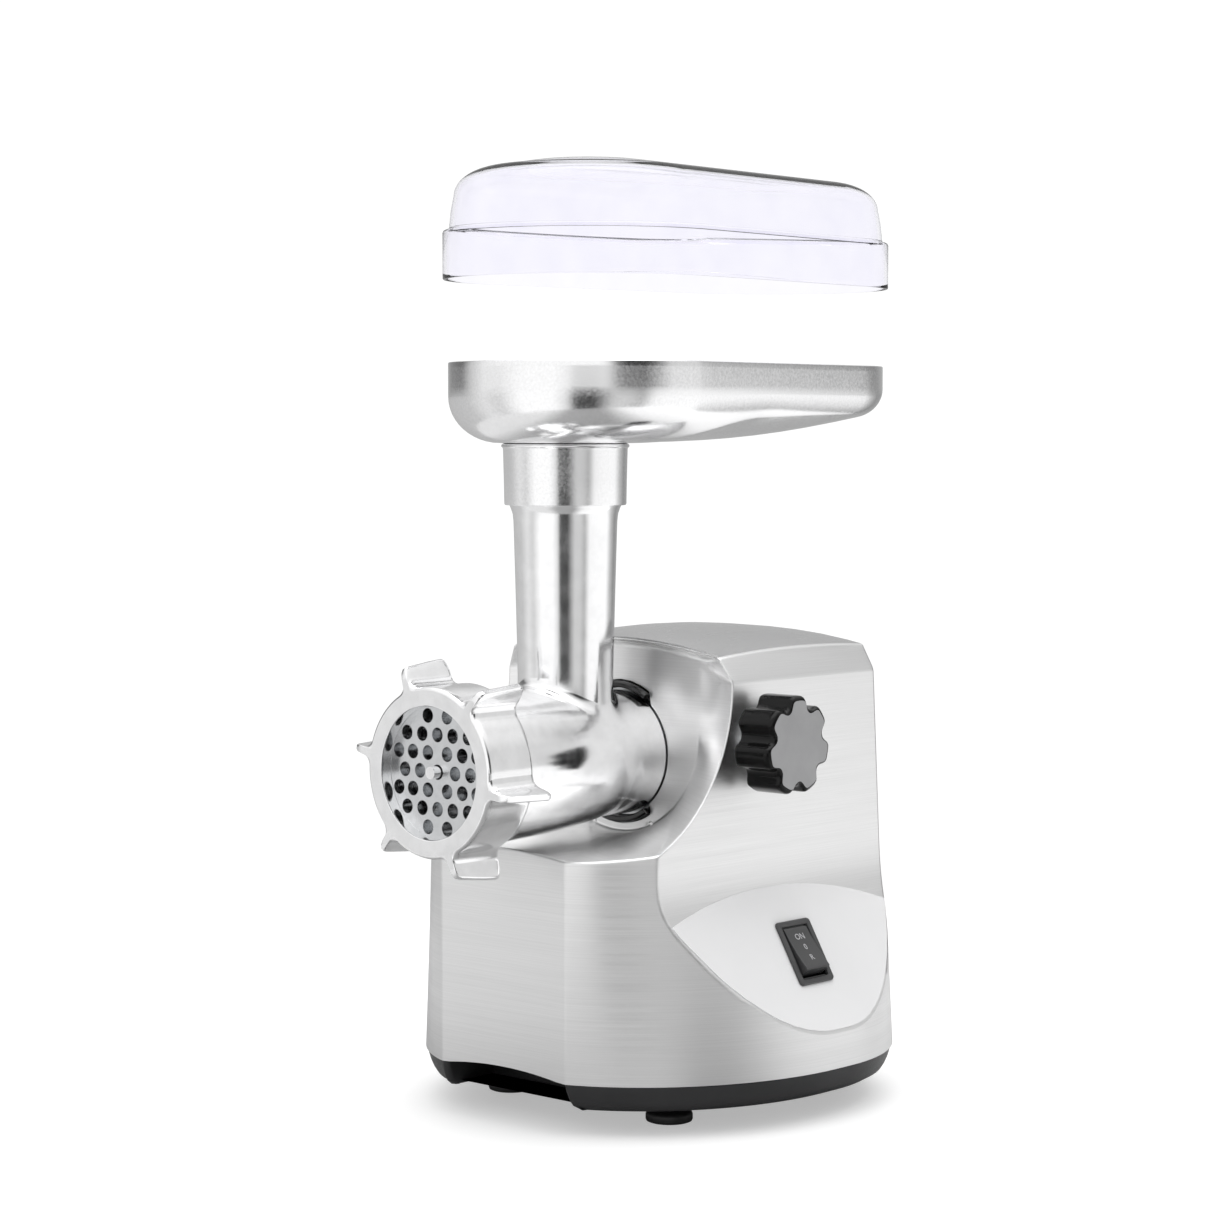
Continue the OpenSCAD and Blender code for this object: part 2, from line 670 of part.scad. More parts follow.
// Directions of the centre lines, degrees from +X, seen from the front with Z up.
dir3 = 240;
dir2 = 310;
dir1 = 250;
output_at = [0, axis_z];
second_at = output_at + stage3_dist * [cos(dir3), sin(dir3)];
first_at = second_at + stage2_dist * [cos(dir2), sin(dir2)];
motor_at = first_at + stage1_dist * [cos(dir1), sin(dir1)];
layer3 = 188;
layer2 = 204;
layer1 = 216;
width3 = 13;
width2 = 9;
width1 = 7;
// A gear on an arbor, placed at [x, z]; phase turns the tooth on +X, seen from the front.
module on_arbor(at, y, phase) {
    translate([at[0], y, at[1]]) rotate([90, 0, 0]) mirror([0, 0, 1]) rotate([0, 0, phase]) children();
}
module output_gear() {
    color(steel) placed() on_arbor(output_at, layer3, dir3) difference() {
        gear(output_teeth, stage3_mod, 0, width3);
        translate([0, 0, -1]) cylinder(r = 12, h = 40, $fn = fine);
    }
}
// The pinion's gap faces the mating tooth, so it is turned by half a tooth.
module second_gear() {
    color(steel) placed() {
        on_arbor(second_at, layer3 - 1, dir3 + 180 + 180 / pinion3_teeth)
            gear(pinion3_teeth, stage3_mod, 0, width3 + 3);
        on_arbor(second_at, layer2, dir2) gear(gear2_teeth, stage2_mod, 0, width2);
        rod_y(second_at[0], 183, second_at[1], 5, 46);
    }
}
module first_gear() {
    color(brass) placed() {
        on_arbor(first_at, layer2 - 1, dir2 + 180 + 180 / pinion2_teeth)
            gear(pinion2_teeth, stage2_mod, 0, width2 + 4);
        on_arbor(first_at, layer1, dir1) gear(gear1_teeth, stage1_mod, 0, width1);
        rod_y(first_at[0], 183, first_at[1], 4, 46);
    }
}
module motor_pinion() {
    color(steel) placed()
        on_arbor(motor_at, layer1 - 2, dir1 + 180 + 180 / motor_pinion_teeth)
            gear(motor_pinion_teeth, stage1_mod, 3, width1 + 4);
}
shaft_r = 12;
module drive_shaft() {
    color(steel) placed() difference() {
        union() {
            rod_y(0, 162, axis_z, 15.5, 19.5);
            rod_y(0, 180, axis_z, shaft_r, 49);
        }
        along_y(0, 150, axis_z) rotate([0, 0, 45]) translate([-7.1, -7.1, 0])
            cube([14.2, 14.2, 33]);
        rod_y(0, 150, axis_z, 15.6 - 3.4, 14);
    }
}
module washer_y(at, y, r_in, r_out, len) {
    along_y(at[0], y, at[1]) difference() {
        cylinder(r = r_out, h = len, $fn = fine);
        translate([0, 0, -1]) cylinder(r = r_in, h = len + 2, $fn = fine);
    }
}
box_front = 181;
box_back = 226;
box_wall = 4;
bush_len = box_wall;
module output_bushes() {
    color(brass) placed() {
        washer_y(output_at, box_front + 0.8, shaft_r + running_gap, 17, bush_len + 0.8);
        washer_y(output_at, box_back - 2, shaft_r + running_gap, 17, bush_len);
    }
}
module arbor_bushes() {
    color(brass) placed() for (a = [[second_at, 5], [first_at, 4]]) {
        washer_y(a[0], box_front + 1, a[1] + running_gap, a[1] + 3.5, bush_len);
        washer_y(a[0], box_back - 1, a[1] + running_gap, a[1] + 3.5, bush_len);
    }
}
// Outline of the gearbox round its three arbors and the motor pinion, grown by g.
module box_outline(g) {
    hull() {
        translate(output_at) circle(r = output_teeth * stage3_mod / 2 + g, $fn = blend);
        translate(second_at) circle(r = gear2_teeth * stage2_mod / 2 + g, $fn = blend);
        translate(first_at) circle(r = gear1_teeth * stage1_mod / 2 + g, $fn = blend);
        translate(motor_at) circle(r = 12 + g, $fn = blend);
    }
}
module box_holes(y, len) {
    for (a = [[output_at, 17.02], [second_at, 8.52], [first_at, 7.52], [motor_at, 5]])
        rod_y(a[0][0], y, a[0][1], a[1], len);
    for (p = box_bolts) rod_y(p[0], y, p[1], 2.1, len);
}
// Bolts stand in the middle of the box's wall, each round one of the arbors.
box_rim = 9;
box_thick = 6;
function on_rim(at, r, a) = at + (r + box_rim - box_thick / 2) * [cos(a), sin(a)];
box_bolts = [on_rim(output_at, output_teeth * stage3_mod / 2, 45),
    on_rim(output_at, output_teeth * stage3_mod / 2, 135),
    on_rim(second_at, gear2_teeth * stage2_mod / 2, 180),
    on_rim(first_at, gear1_teeth * stage1_mod / 2, -20), on_rim(motor_at, 12, 270)];
module box_slab(y, len, g) {
    translate([0, y + len, 0]) rotate([90, 0, 0]) linear_extrude(len) box_outline(g);
}
module gearbox_front() {
    color(cast) placed() difference() {
        box_slab(box_front, box_back - box_front - 1, box_rim);
        box_slab(box_front + box_wall, 60, box_rim - box_thick);
        box_holes(box_front - 10, 80);
    }
}
module gearbox_back() {
    color(cast) placed() difference() {
        box_slab(box_back - 1, box_wall, box_rim);
        box_holes(box_back - 10, 30);
    }
}
module gearbox_screws() {
    color(steel) placed() for (p = box_bolts) {
        rod_y(p[0], box_back + box_wall - 1, p[1], 3.5, 2.6);
        rod_y(p[0], box_front - 0.5, p[1], 2, box_back + box_wall - box_front);
    }
}

// ---------------------------------------------------------------- motor
stack_y = 100;
stack_len = 48;
rotor_r = 22;
motor_shaft_r = 3;
module motor_stator() {
    color(grey) placed() along_y(motor_at[0], stack_y, motor_at[1]) difference() {
        intersection() {
            cylinder(r = motor_r, h = stack_len, $fn = fine);
            translate([-motor_r, -33, 0]) cube([motor_r * 2, 66, stack_len]);
        }
        translate([0, 0, -1]) cylinder(r = rotor_r + 0.6, h = 80, $fn = fine);
        for (a = [45, 135, 225, 315]) rotate([0, 0, a]) translate([24, -4.5, -1]) cube([8, 9, 80]);
    }
}
module motor_coils() {
    color(copper) placed() for (y = [stack_y - 9, stack_y + stack_len])
        along_y(motor_at[0], y, motor_at[1]) for (a = [90, 270])
            ring_sector(rotor_r + 3, 32, 9, a, 60);
}
module rotor() {
    color(grey) placed() difference() {
        union() {
            rod_y(motor_at[0], stack_y, motor_at[1], rotor_r, stack_len);
            rod_y(motor_at[0], 66, motor_at[1], motor_shaft_r, 161);
        }
        for (k = [0:11]) along_y(motor_at[0], stack_y - 1, motor_at[1])
            rotate([0, 0, k * 30]) translate([rotor_r - 3, -1.2, 0]) cube([4, 2.4, 80]);
    }
}
module rotor_windings() {
    color(copper) placed() {
        washer_y(motor_at, stack_y - 8, motor_shaft_r, rotor_r - 3, 8);
        washer_y(motor_at, stack_y + stack_len, motor_shaft_r, rotor_r - 3, 8);
    }
}
commutator_y = 160;
module commutator() {
    color(copper) placed() along_y(motor_at[0], commutator_y, motor_at[1]) difference() {
        cylinder(r = 11, h = 12, $fn = fine);
        translate([0, 0, -1]) cylinder(r = motor_shaft_r, h = 20, $fn = fine);
        for (k = [0:23]) rotate([0, 0, k * 15]) translate([10, -0.3, -1]) cube([3, 0.6, 20]);
    }
}
fan_y = 74;
module fan() {
    color(black) placed() along_y(motor_at[0], fan_y, motor_at[1]) difference() {
        union() {
            cylinder(r = 30, h = 2, $fn = fine);
            cylinder(r = 8, h = 14, $fn = fine);
            for (k = [0:8]) rotate([0, 0, k * 40]) translate([7, -0.8, 0]) cube([22, 1.6, 12]);
        }
        translate([0, 0, -1]) cylinder(r = motor_shaft_r, h = 30, $fn = fine);
    }
}
bearing_places = [68, 174];
module motor_bearings() {
    color(steel) placed() for (y = bearing_places)
        washer_y(motor_at, y, motor_shaft_r + 0.02, 8, 5);
}
bolt_x = 42;
// The front bridge stands on the roof of the base's recess, the back one on its floor.
function bracket_foot(y) = y < front_y + recess_depth ? recess_roof : base_z + 3;
// Two end bridges that carry the bearings.
module motor_bracket() {
    color(cast) placed() difference() {
        for (y = bearing_places) {
            washer_y(motor_at, y - 0.5, 8, 13, 6);
            translate([motor_at[0] - 46, y - 0.5, motor_at[1] - 9]) cube([92, 6, 18]);
            for (sx = [-36, 28]) translate([motor_at[0] + sx, y - 0.5, bracket_foot(y)])
                cube([8, 6, motor_at[1] - bracket_foot(y)]);
        }
        for (y = bearing_places) rod_y(motor_at[0], y - 5, motor_at[1], 8, 20);
        for (sx = [-1, 1]) rod_y(motor_at[0] + sx * bolt_x, 60, motor_at[1], 2.1, 160);
    }
}
module motor_bolts() {
    color(steel) placed() for (sx = [-1, 1]) {
        rod_y(motor_at[0] + sx * bolt_x, 66, motor_at[1], 2, 114);
        rod_y(motor_at[0] + sx * bolt_x, 64.9, motor_at[1], 3.6, 2.6);
    }
}
module brush_holders() {
    color(brass) placed() for (sx = [-1, 1])
        translate([motor_at[0] + sx * 22, commutator_y + 6, motor_at[1]]) difference() {
            cube([20, 9, 9], center = true);
            cube([30, 5.1, 5.1], center = true);
        }
}
module carbon_brushes() {
    color(black) placed() for (sx = [-1, 1])
        translate([motor_at[0] + sx * (11 + 7.1), commutator_y + 6, motor_at[1]])
            cube([14, 5, 5], center = true);
}
module terminal_block() {
    color("#e8e4d8") placed() difference() {
        translate([-82, 192, base_z + 3]) cube([18, 40, 16]);
        for (i = [0:3]) translate([-73, 197 + i * 10, base_z + 10])
            cylinder(r = 3, h = 20, $fn = fine);
    }
}
inlet_x = 0;
inlet_z = 60;
inlet_r = 8;
module cable_inlet() {
    // Rubber grommet in the back wall; the lead's passage is open.
    color(black) placed() along_y(inlet_x, back_y - 8, inlet_z) difference() {
        union() {
            cylinder(r = inlet_r - 0.05, h = 9, $fn = fine);
            translate([0, 0, 8]) cylinder(r1 = 11, r2 = 9, h = 5, $fn = fine);
            cylinder(r = 10.5, h = 4, $fn = fine);
        }
        translate([0, 0, -1]) cylinder(r = 3.7, h = 30, $fn = fine);
    }
}

casing();
rear_panel();
side_panel();
base();
base_screws();
feet();
foot_screws();
socket();
bayonet_ring();
head();
auger();
knife();
auger_washer();
hole_plate();
plate_key();
ring_nut();
tray();
tray_collar();
lid();
clamp_bush();
clamp_screw();
knob();
clamp_pad();
switch_frame();
switch_body();
rocker();
rocker_pin();
gearbox_front();
gearbox_back();
gearbox_screws();
output_gear();
drive_shaft();
output_bushes();
second_gear();
first_gear();
arbor_bushes();
motor_pinion();
motor_stator();
motor_coils();
rotor();
rotor_windings();
commutator();
fan();
motor_bearings();
motor_bracket();
brush_holders();
carbon_brushes();
motor_bolts();
terminal_block();
cable_inlet();
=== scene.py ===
import json
from math import acos, asin, atan2, cos, hypot, pi, radians, sin, sqrt

import bmesh
import bpy
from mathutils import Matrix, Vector


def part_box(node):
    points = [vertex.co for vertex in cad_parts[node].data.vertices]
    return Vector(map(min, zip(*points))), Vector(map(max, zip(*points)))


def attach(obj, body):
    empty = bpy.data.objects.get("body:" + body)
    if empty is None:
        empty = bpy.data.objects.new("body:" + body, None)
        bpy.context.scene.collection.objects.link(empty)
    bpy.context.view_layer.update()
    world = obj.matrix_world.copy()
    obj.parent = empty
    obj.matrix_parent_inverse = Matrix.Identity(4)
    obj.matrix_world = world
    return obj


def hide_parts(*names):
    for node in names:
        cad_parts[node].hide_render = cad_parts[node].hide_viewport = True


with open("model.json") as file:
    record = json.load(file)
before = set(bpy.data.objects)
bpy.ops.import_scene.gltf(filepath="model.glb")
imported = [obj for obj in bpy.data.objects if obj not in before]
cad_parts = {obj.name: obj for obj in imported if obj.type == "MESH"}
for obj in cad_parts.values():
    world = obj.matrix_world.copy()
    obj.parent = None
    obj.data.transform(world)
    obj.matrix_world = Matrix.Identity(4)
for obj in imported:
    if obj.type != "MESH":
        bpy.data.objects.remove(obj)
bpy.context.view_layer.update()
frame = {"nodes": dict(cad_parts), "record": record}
nodes = frame["nodes"]

# ------------------------------------------------------------------ units and frame
# Shapes below are written in millimetres, with Y counted back from the ring nut's front
# face as in the CAD source, and placed in the row frame by at().
MM = 0.001
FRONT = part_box("ring_nut")[0].y


def at(point):
    x, y, z = point
    return Vector((x * MM, FRONT + y * MM, z * MM))


def low(node, end=0):
    """Lowest corner of a CAD node in the builder's millimetres."""
    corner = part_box(node)[end]
    return corner.x / MM, (corner.y - FRONT) / MM, corner.z / MM


def high(node):
    return low(node, 1)


def centre(node):
    return mix(low(node), high(node), 0.5)


def lerp(a, b, t):
    return a + (b - a) * t


def mix(p, q, t):
    return tuple(lerp(a, b, t) for a, b in zip(p, q))


def clamp(t, lo=0.0, hi=1.0):
    return max(lo, min(hi, t))


def smooth(t, start=0.0, end=1.0):
    t = clamp((t - start) / (end - start))
    return t * t * (3 - 2 * t)


def steps(n):
    return [i / n for i in range(n + 1)]


# ------------------------------------------------------------------ materials
def principled(name, colour, metallic=0.0, roughness=0.4, **sockets):
    material = bpy.data.materials.new(name)
    material.use_nodes = True
    shader = material.node_tree.nodes["Principled BSDF"]
    shader.inputs["Base Color"].default_value = (*colour, 1)
    shader.inputs["Metallic"].default_value = metallic
    shader.inputs["Roughness"].default_value = roughness
    for socket, value in sockets.items():
        shader.inputs[socket.replace("_", " ")].default_value = value
    return material, material.node_tree, shader


def feed(tree, socket, value):
    """Links a socket to another one, or sets it to a plain value."""
    if isinstance(value, bpy.types.NodeSocket):
        tree.links.new(value, socket)
    else:
        socket.default_value = value


def add_node(tree, kind, modes=None, **sockets):
    """New shader node with its modes set and the named sockets fed."""
    node = tree.nodes.new("ShaderNode" + kind)
    for setting, value in (modes or {}).items():
        setattr(node, setting, value)
    for socket, value in sockets.items():
        feed(tree, node.inputs[socket.replace("_", " ")], value)
    return node


def maths(tree, kind, operation, a, b):
    """Maths node with two inputs."""
    node = add_node(tree, kind, {"operation": operation})
    feed(tree, node.inputs[0], a)
    feed(tree, node.inputs[1], b)
    return node


def between(tree, value, start, end, lo=0.0, hi=1.0):
    """Goes from lo to hi as the value goes from start to end."""
    return add_node(tree, "MapRange", Value=value, From_Min=start, From_Max=end, To_Min=lo,
                    To_Max=hi).outputs["Result"]


def noise(tree, scale, stretch=(1, 1, 1), detail=3.0, rough=0.5):
    """Noise in the object's own coordinates, scale in cycles per metre."""
    place = add_node(tree, "TexCoord").outputs["Object"]
    mapped = add_node(tree, "Mapping", Vector=place, Scale=stretch).outputs["Vector"]
    return add_node(tree, "TexNoise", Vector=mapped, Scale=scale, Detail=detail,
                    Roughness=rough).outputs["Fac"]


def spread(tree, value, lo, hi, socket, start=0.3, end=0.7):
    """Drives a socket between lo and hi as the value goes from start to end."""
    feed(tree, socket, between(tree, value, start, end, lo, hi))


def tint(tree, value, dark, light, socket):
    """Drives a colour socket from dark to light over the middle of the value's range."""
    ramp = add_node(tree, "ValToRGB", Fac=value)
    for element, place, colour in zip(ramp.color_ramp.elements, (0.3, 0.7), (dark, light)):
        element.position = place
        element.color = (*colour, 1)
    feed(tree, socket, ramp.outputs["Color"])


def bump(tree, shader, layers):
    """Chains bump layers, each (height, depth in metres, strength)."""
    normal = {}
    for height, depth, strength in layers:
        node = add_node(tree, "Bump", Height=height, Distance=depth, Strength=strength, **normal)
        normal = {"Normal": node.outputs["Normal"]}
    feed(tree, shader.inputs["Normal"], normal["Normal"])


def brushed(name, colour, roughness, along, line=2600, reach=14, relief=1.0, streak=0.0):
    """Metal with fine parallel lines; along names the axes that the lines follow.

    streak is how far its gloss is drawn out upright, across level lines.
    """
    material, tree, shader = principled(name, colour, 1.0, roughness, Anisotropic=streak,
                                        Anisotropic_Rotation=0.25)
    tangent = add_node(tree, "Tangent", {"direction_type": "RADIAL", "axis": "Z"})
    feed(tree, shader.inputs["Tangent"], tangent.outputs["Tangent"])
    stretch = [reach if axis in along else line for axis in "xyz"]
    lines = noise(tree, 1.0, stretch, 3.0, 0.6)
    broad = noise(tree, 1.0, [s * 0.22 for s in stretch], 2.0)
    tint(tree, lines, [c * 0.95 for c in colour], [min(1, c * 1.03) for c in colour],
         shader.inputs["Base Color"])
    spread(tree, broad, roughness - 0.03, roughness + 0.04, shader.inputs["Roughness"])
    bump(tree, shader, [(lines, 0.00003 * relief, 0.3), (broad, 0.00004 * relief, 0.1)])
    return material


def cast(name, colour, roughness, grain=260, relief=1.0):
    """Polished casting or pressing: soft waviness under a fine grain."""
    material, tree, shader = principled(name, colour, 1.0, roughness)
    fine = noise(tree, grain * 6, detail=2.0)
    soft = noise(tree, grain * 0.5, detail=3.0)
    wave = noise(tree, 34.0, detail=1.0)
    tint(tree, soft, [c * 0.94 for c in colour], [min(1, c * 1.03) for c in colour],
         shader.inputs["Base Color"])
    spread(tree, soft, roughness - 0.03, roughness + 0.04, shader.inputs["Roughness"])
    bump(tree, shader, [(fine, 0.00004 * relief, 0.22), (soft, 0.00008 * relief, 0.06),
                        (wave, 0.0008 * relief, 0.03)])
    return material


def plastic(name, colour, roughness, grain=1500, relief=1.0, coat=0.0, mottle=0.1, shine=0.5):
    """Moulded plastic or rubber with a fine spark-eroded grain."""
    material, tree, shader = principled(name, colour, 0.0, roughness, Coat_Weight=coat,
                                        Coat_Roughness=0.08, Specular_IOR_Level=shine)
    fine = noise(tree, grain, detail=2.0)
    patch = noise(tree, 40.0)
    tint(tree, patch, [c * (1 - mottle) for c in colour], [c * (1 + mottle) for c in colour],
         shader.inputs["Base Color"])
    spread(tree, fine, roughness - 0.05, roughness + 0.07, shader.inputs["Roughness"])
    bump(tree, shader, [(fine, 0.00008 * relief, 0.2)])
    return material


def clear_plastic():
    colour = (0.94, 0.935, 0.98)
    material, tree, shader = principled("clear_lid", colour, 0.0, 0.015, IOR=1.12,
                                        Transmission_Weight=1.0, Specular_IOR_Level=0.35)
    haze = noise(tree, 60.0)
    wave = noise(tree, 22.0, detail=1.0)
    tint(tree, haze, (0.925, 0.92, 0.97), (0.955, 0.95, 0.985), shader.inputs["Base Color"])
    spread(tree, haze, 0.01, 0.03, shader.inputs["Roughness"])
    bump(tree, shader, [(wave, 0.0005, 0.05)])
    return material


MATERIALS = {
    "brushed_casing": brushed("casing_brushed", (0.79, 0.79, 0.79), 0.35, "xy", streak=0.6),
    "vent_panel": plastic("vent_panel", (0.06, 0.06, 0.062), 0.45, 900),
    "label_panel": plastic("label_satin", (0.72, 0.72, 0.725), 0.38, 1800, 0.3, 0.0, 0.01),
    "black_base": plastic("base_plastic", (0.018, 0.018, 0.019), 0.34, 1300),
    "plain_steel": brushed("plain_steel", (0.62, 0.63, 0.64), 0.30, "xz", 900, 60),
    "rubber_feet": plastic("rubber", (0.012, 0.012, 0.012), 0.42, 1700),
    "black_gloss": plastic("black_gloss", (0.006, 0.006, 0.006), 0.20, 1200, 0.3, 0.2),
    "cast_aluminium": cast("cast_aluminium", (0.90, 0.90, 0.905), 0.13),
    "spun_aluminium": cast("spun_aluminium", (0.88, 0.88, 0.885), 0.16, 1500, 0.1),
    "tool_steel": brushed("tool_steel", (0.66, 0.67, 0.68), 0.24, "xz", 1600, 240, 0.6),
    "bronze": cast("bronze", (0.62, 0.45, 0.22), 0.30),
    "clear_plastic": clear_plastic(),
    "knob_black": plastic("knob_plastic", (0.003, 0.003, 0.003), 0.10, 1100, 0.1, shine=0.2),
    "rocker_black": plastic("rocker_plastic", (0.040, 0.040, 0.041), 0.42, 2200, 1.6),
    "inner_casting": cast("inner_casting", (0.62, 0.62, 0.63), 0.42),
    "laminations": brushed("laminations", (0.30, 0.30, 0.31), 0.5, "xz", 1800, 40),
    "copper": brushed("copper_winding", (0.62, 0.28, 0.13), 0.34, "xz", 1500, 90),
    "ivory_plastic": plastic("ivory_plastic", (0.72, 0.69, 0.60), 0.45, 900),
}
# Roof steel: brushed along its length, and coloured darker than the casing's steel as painted
# shade for the roof's dimmer reflection.
SHADED_ROOF_STEEL = brushed("roof_brushed_shaded", (0.66, 0.66, 0.665), 0.24, "y", 2600, 20, 0.35)
KNOB_FACE = plastic("knob_face", (0.30, 0.30, 0.305), 0.40, 1900, 0.8)
BEZEL = plastic("bezel_plastic", (0.045, 0.045, 0.046), 0.40, 2200, 1.4)
LEGEND = plastic("legend_print", (0.42, 0.42, 0.43), 0.5, 1500)


# ------------------------------------------------------------------ mesh helpers
class Surface:
    """Vertices and faces gathered in the builder's millimetres, then made into a piece."""

    def __init__(self):
        self.verts = []
        self.faces = []
        self.kinds = []

    def add_rows(self, rows, closed=True, kind=0):
        """Skins rows that have the same number of points."""
        start = len(self.verts)
        width = len(rows[0])
        for row in rows:
            self.verts.extend(row)
        last = width if closed else width - 1
        for r in range(len(rows) - 1):
            for c in range(last):
                d = (c + 1) % width
                a = start + r * width
                b = a + width
                self.faces.append((a + c, a + d, b + d, b + c))
                self.kinds.append(kind)
        return self

    def add_cap(self, row, kind=0):
        start = len(self.verts)
        self.verts.extend(row)
        self.faces.append(tuple(range(start, start + len(row))))
        self.kinds.append(kind)
        return self

    def mirrored(self):
        """Adds the other half, across X = 0."""
        start = len(self.verts)
        self.verts.extend([(-x, y, z) for x, y, z in self.verts])
        for face, kind in list(zip(self.faces, self.kinds)):
            self.faces.append(tuple(start + i for i in reversed(face)))
            self.kinds.append(kind)
        return self


def build_mesh(surface, weld=0.01):
    work = bmesh.new()
    verts = [work.verts.new(at(p)) for p in surface.verts]
    for face, kind in zip(surface.faces, surface.kinds):
        work.faces.new([verts[i] for i in face]).material_index = kind
    bmesh.ops.remove_doubles(work, verts=work.verts, dist=weld * MM)
    bmesh.ops.dissolve_degenerate(work, edges=work.edges, dist=weld * MM)
    bmesh.ops.recalc_face_normals(work, faces=work.faces)
    return work


def face_outward(work, side):
    """Turns the faces over unless their normals point, on the whole, the way side() wants."""
    if sum(side(face) for face in work.faces) < 0:
        bmesh.ops.reverse_faces(work, faces=work.faces)


def round_edges(work, width, segments, chosen):
    """Rounds the edges that chosen() accepts."""
    picked = [e for e in work.edges if len(e.link_faces) == 2 and chosen(e)]
    bmesh.ops.bevel(work, geom=picked, offset=width * MM, offset_type="OFFSET",
                    segments=segments, profile=0.5, affect="EDGES", clamp_overlap=False)


def folded(edge, angle):
    return edge.calc_face_angle(0) > radians(angle)


def link(name, data):
    made = bpy.data.objects.new(name, data)
    bpy.context.scene.collection.objects.link(made)
    return made


def link_mesh(name, work):
    mesh = bpy.data.meshes.new(name)
    work.to_mesh(mesh)
    work.free()
    return link(name, mesh)


def even_normals(piece):
    piece.modifiers.new("even_normals", "WEIGHTED_NORMAL").keep_sharp = True


def thicken(piece, thickness, offset):
    """Gives a skin its thickness; offset is 1 outward and -1 inward."""
    sheet = piece.modifiers.new("sheet", "SOLIDIFY")
    sheet.thickness = thickness * MM
    sheet.offset = offset


def soften(piece, width, segments, angle):
    """Bevels every edge sharper than the angle in degrees."""
    edge = piece.modifiers.new("edge", "BEVEL")
    edge.width = width * MM
    edge.segments = segments
    edge.limit_method = "ANGLE"
    edge.angle_limit = radians(angle)


def finish_piece(name, work, body, materials, replaced=(), sharp=32, weighted=True):
    piece = link_mesh(name, work)
    for material in materials:
        piece.data.materials.append(material)
    shade(piece, sharp)
    if weighted:
        even_normals(piece)
    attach(piece, body)
    if replaced:
        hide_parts(*replaced)
    return piece


def shade(piece, sharp):
    for polygon in piece.data.polygons:
        polygon.use_smooth = True
    piece.data.set_sharp_from_angle(angle=radians(sharp))


def piece_from(name, surface, body, slot, replaced=(), sharp=32, bevel=None, bevel_from=30,
               materials=None, weighted=True):
    work = build_mesh(surface)
    if bevel:
        round_edges(work, bevel, 2, lambda e: folded(e, bevel_from))
    return finish_piece(name, work, body, materials or [MATERIALS[slot]], replaced,
                        sharp, weighted)


def circle(r, n, centre=(0, 0), turn=0.0):
    return [(centre[0] + r * cos(turn + 2 * pi * i / n),
             centre[1] + r * sin(turn + 2 * pi * i / n)) for i in range(n)]


def spin_z(profile, n, centre):
    """Rows round a vertical axis; profile is [radius, z], centre is (x, y)."""
    return [[(x, y, z) for x, y in circle(r, n, centre)] for r, z in profile]


def spin_y(profile, n, axis_z, x0=0.0):
    """Rows round an axis along Y; profile is [radius, y]."""
    return [[(x0 + x, y, axis_z + z) for x, z in circle(r, n)] for r, y in profile]


def spin_x(profile, n, y0, z0):
    """Rows round an axis along X; profile is [radius, x]."""
    return [[(x, y0 + y, z0 + z) for y, z in circle(r, n)] for r, x in profile]


def cut(piece, cutters):
    """Cuts closed solids out of a piece for good."""
    for tool in cutters:
        modifier = piece.modifiers.new("cut", "BOOLEAN")
        modifier.operation = "DIFFERENCE"
        modifier.solver = "EXACT"
        modifier.object = tool
    graph = bpy.context.evaluated_depsgraph_get()
    mesh = bpy.data.meshes.new_from_object(piece.evaluated_get(graph))
    piece.modifiers.clear()
    piece.data = mesh
    for tool in cutters:
        bpy.data.objects.remove(tool)


def cutter(rows):
    """Closed solid through rows, as an object for cut()."""
    return link_mesh("cutter", build_mesh(prism(rows)))


def prism(rows):
    """Closed solid through rows, with both ends capped."""
    surface = Surface().add_rows(rows)
    surface.add_cap(list(reversed(rows[0])))
    surface.add_cap(rows[-1])
    return surface


# ------------------------------------------------------------------ casing form
_, PANEL_Y, EDGE_Z = low("casing")
WIDEST_X, BACK_Y, _ = high("casing")
PANEL_HALF, BACK_HALF = 42.0, 38.0
WAIST = 76.5
SHELF_Z = 137.0  # ledge under the grinding head
BELT_Z = 217.0  # lower edge of the rounded shoulder
ROOF_FRONT_Y = 131.0
WIDEST_Y = 168.0
TAIL_Y, TAIL_LEN = 180.0, 106.0  # ellipse of the back corners
DRAFT = 0.047
TILT_X, TILT_Z, TILT_SLOPE = 82.0, 100.0, 0.587  # control face
TILT_EASE = (98.0, 130.0)  # heights between which it turns upright
FLANGE_Y = 137.0
AXIS_Z = centre("drive_shaft")[2]


def side_x(z):
    """X of the side: the tilted control face, eased into the upright wall."""
    ease_low, ease_high = TILT_EASE
    if z <= ease_low:
        return TILT_X + TILT_SLOPE * (TILT_Z - z)
    if z >= ease_high:
        return WAIST
    t = (z - ease_low) / (ease_high - ease_low)
    start = TILT_X + TILT_SLOPE * (TILT_Z - ease_low)
    slope = -TILT_SLOPE * (ease_high - ease_low)
    return ((2 * t**3 - 3 * t**2 + 1) * start + (t**3 - 2 * t**2 + t) * slope
            + (3 * t**2 - 2 * t**3) * WAIST)


def flank(t, z):
    """Point on the front flank of the plan at height z, t from the panel to the widest."""
    a, b = (PANEL_HALF, PANEL_Y), (PANEL_HALF + 40, PANEL_Y + 15.5)
    c, d = (WIDEST_X, PANEL_Y + 61.5), (WIDEST_X, WIDEST_Y)
    s = 1 - t
    x, y = [s**3 * a[i] + 3 * s * s * t * b[i] + 3 * s * t * t * c[i] + t**3 * d[i]
            for i in (0, 1)]
    dx, dy = [3 * s * s * (b[i] - a[i]) + 6 * s * t * (c[i] - b[i]) + 3 * t * t * (d[i] - c[i])
              for i in (0, 1)]
    length = hypot(dx, dy)
    inset = DRAFT * (z - EDGE_Z) * smooth(t, 0, 0.45)
    return x - dy / length * inset, y + dx / length * inset


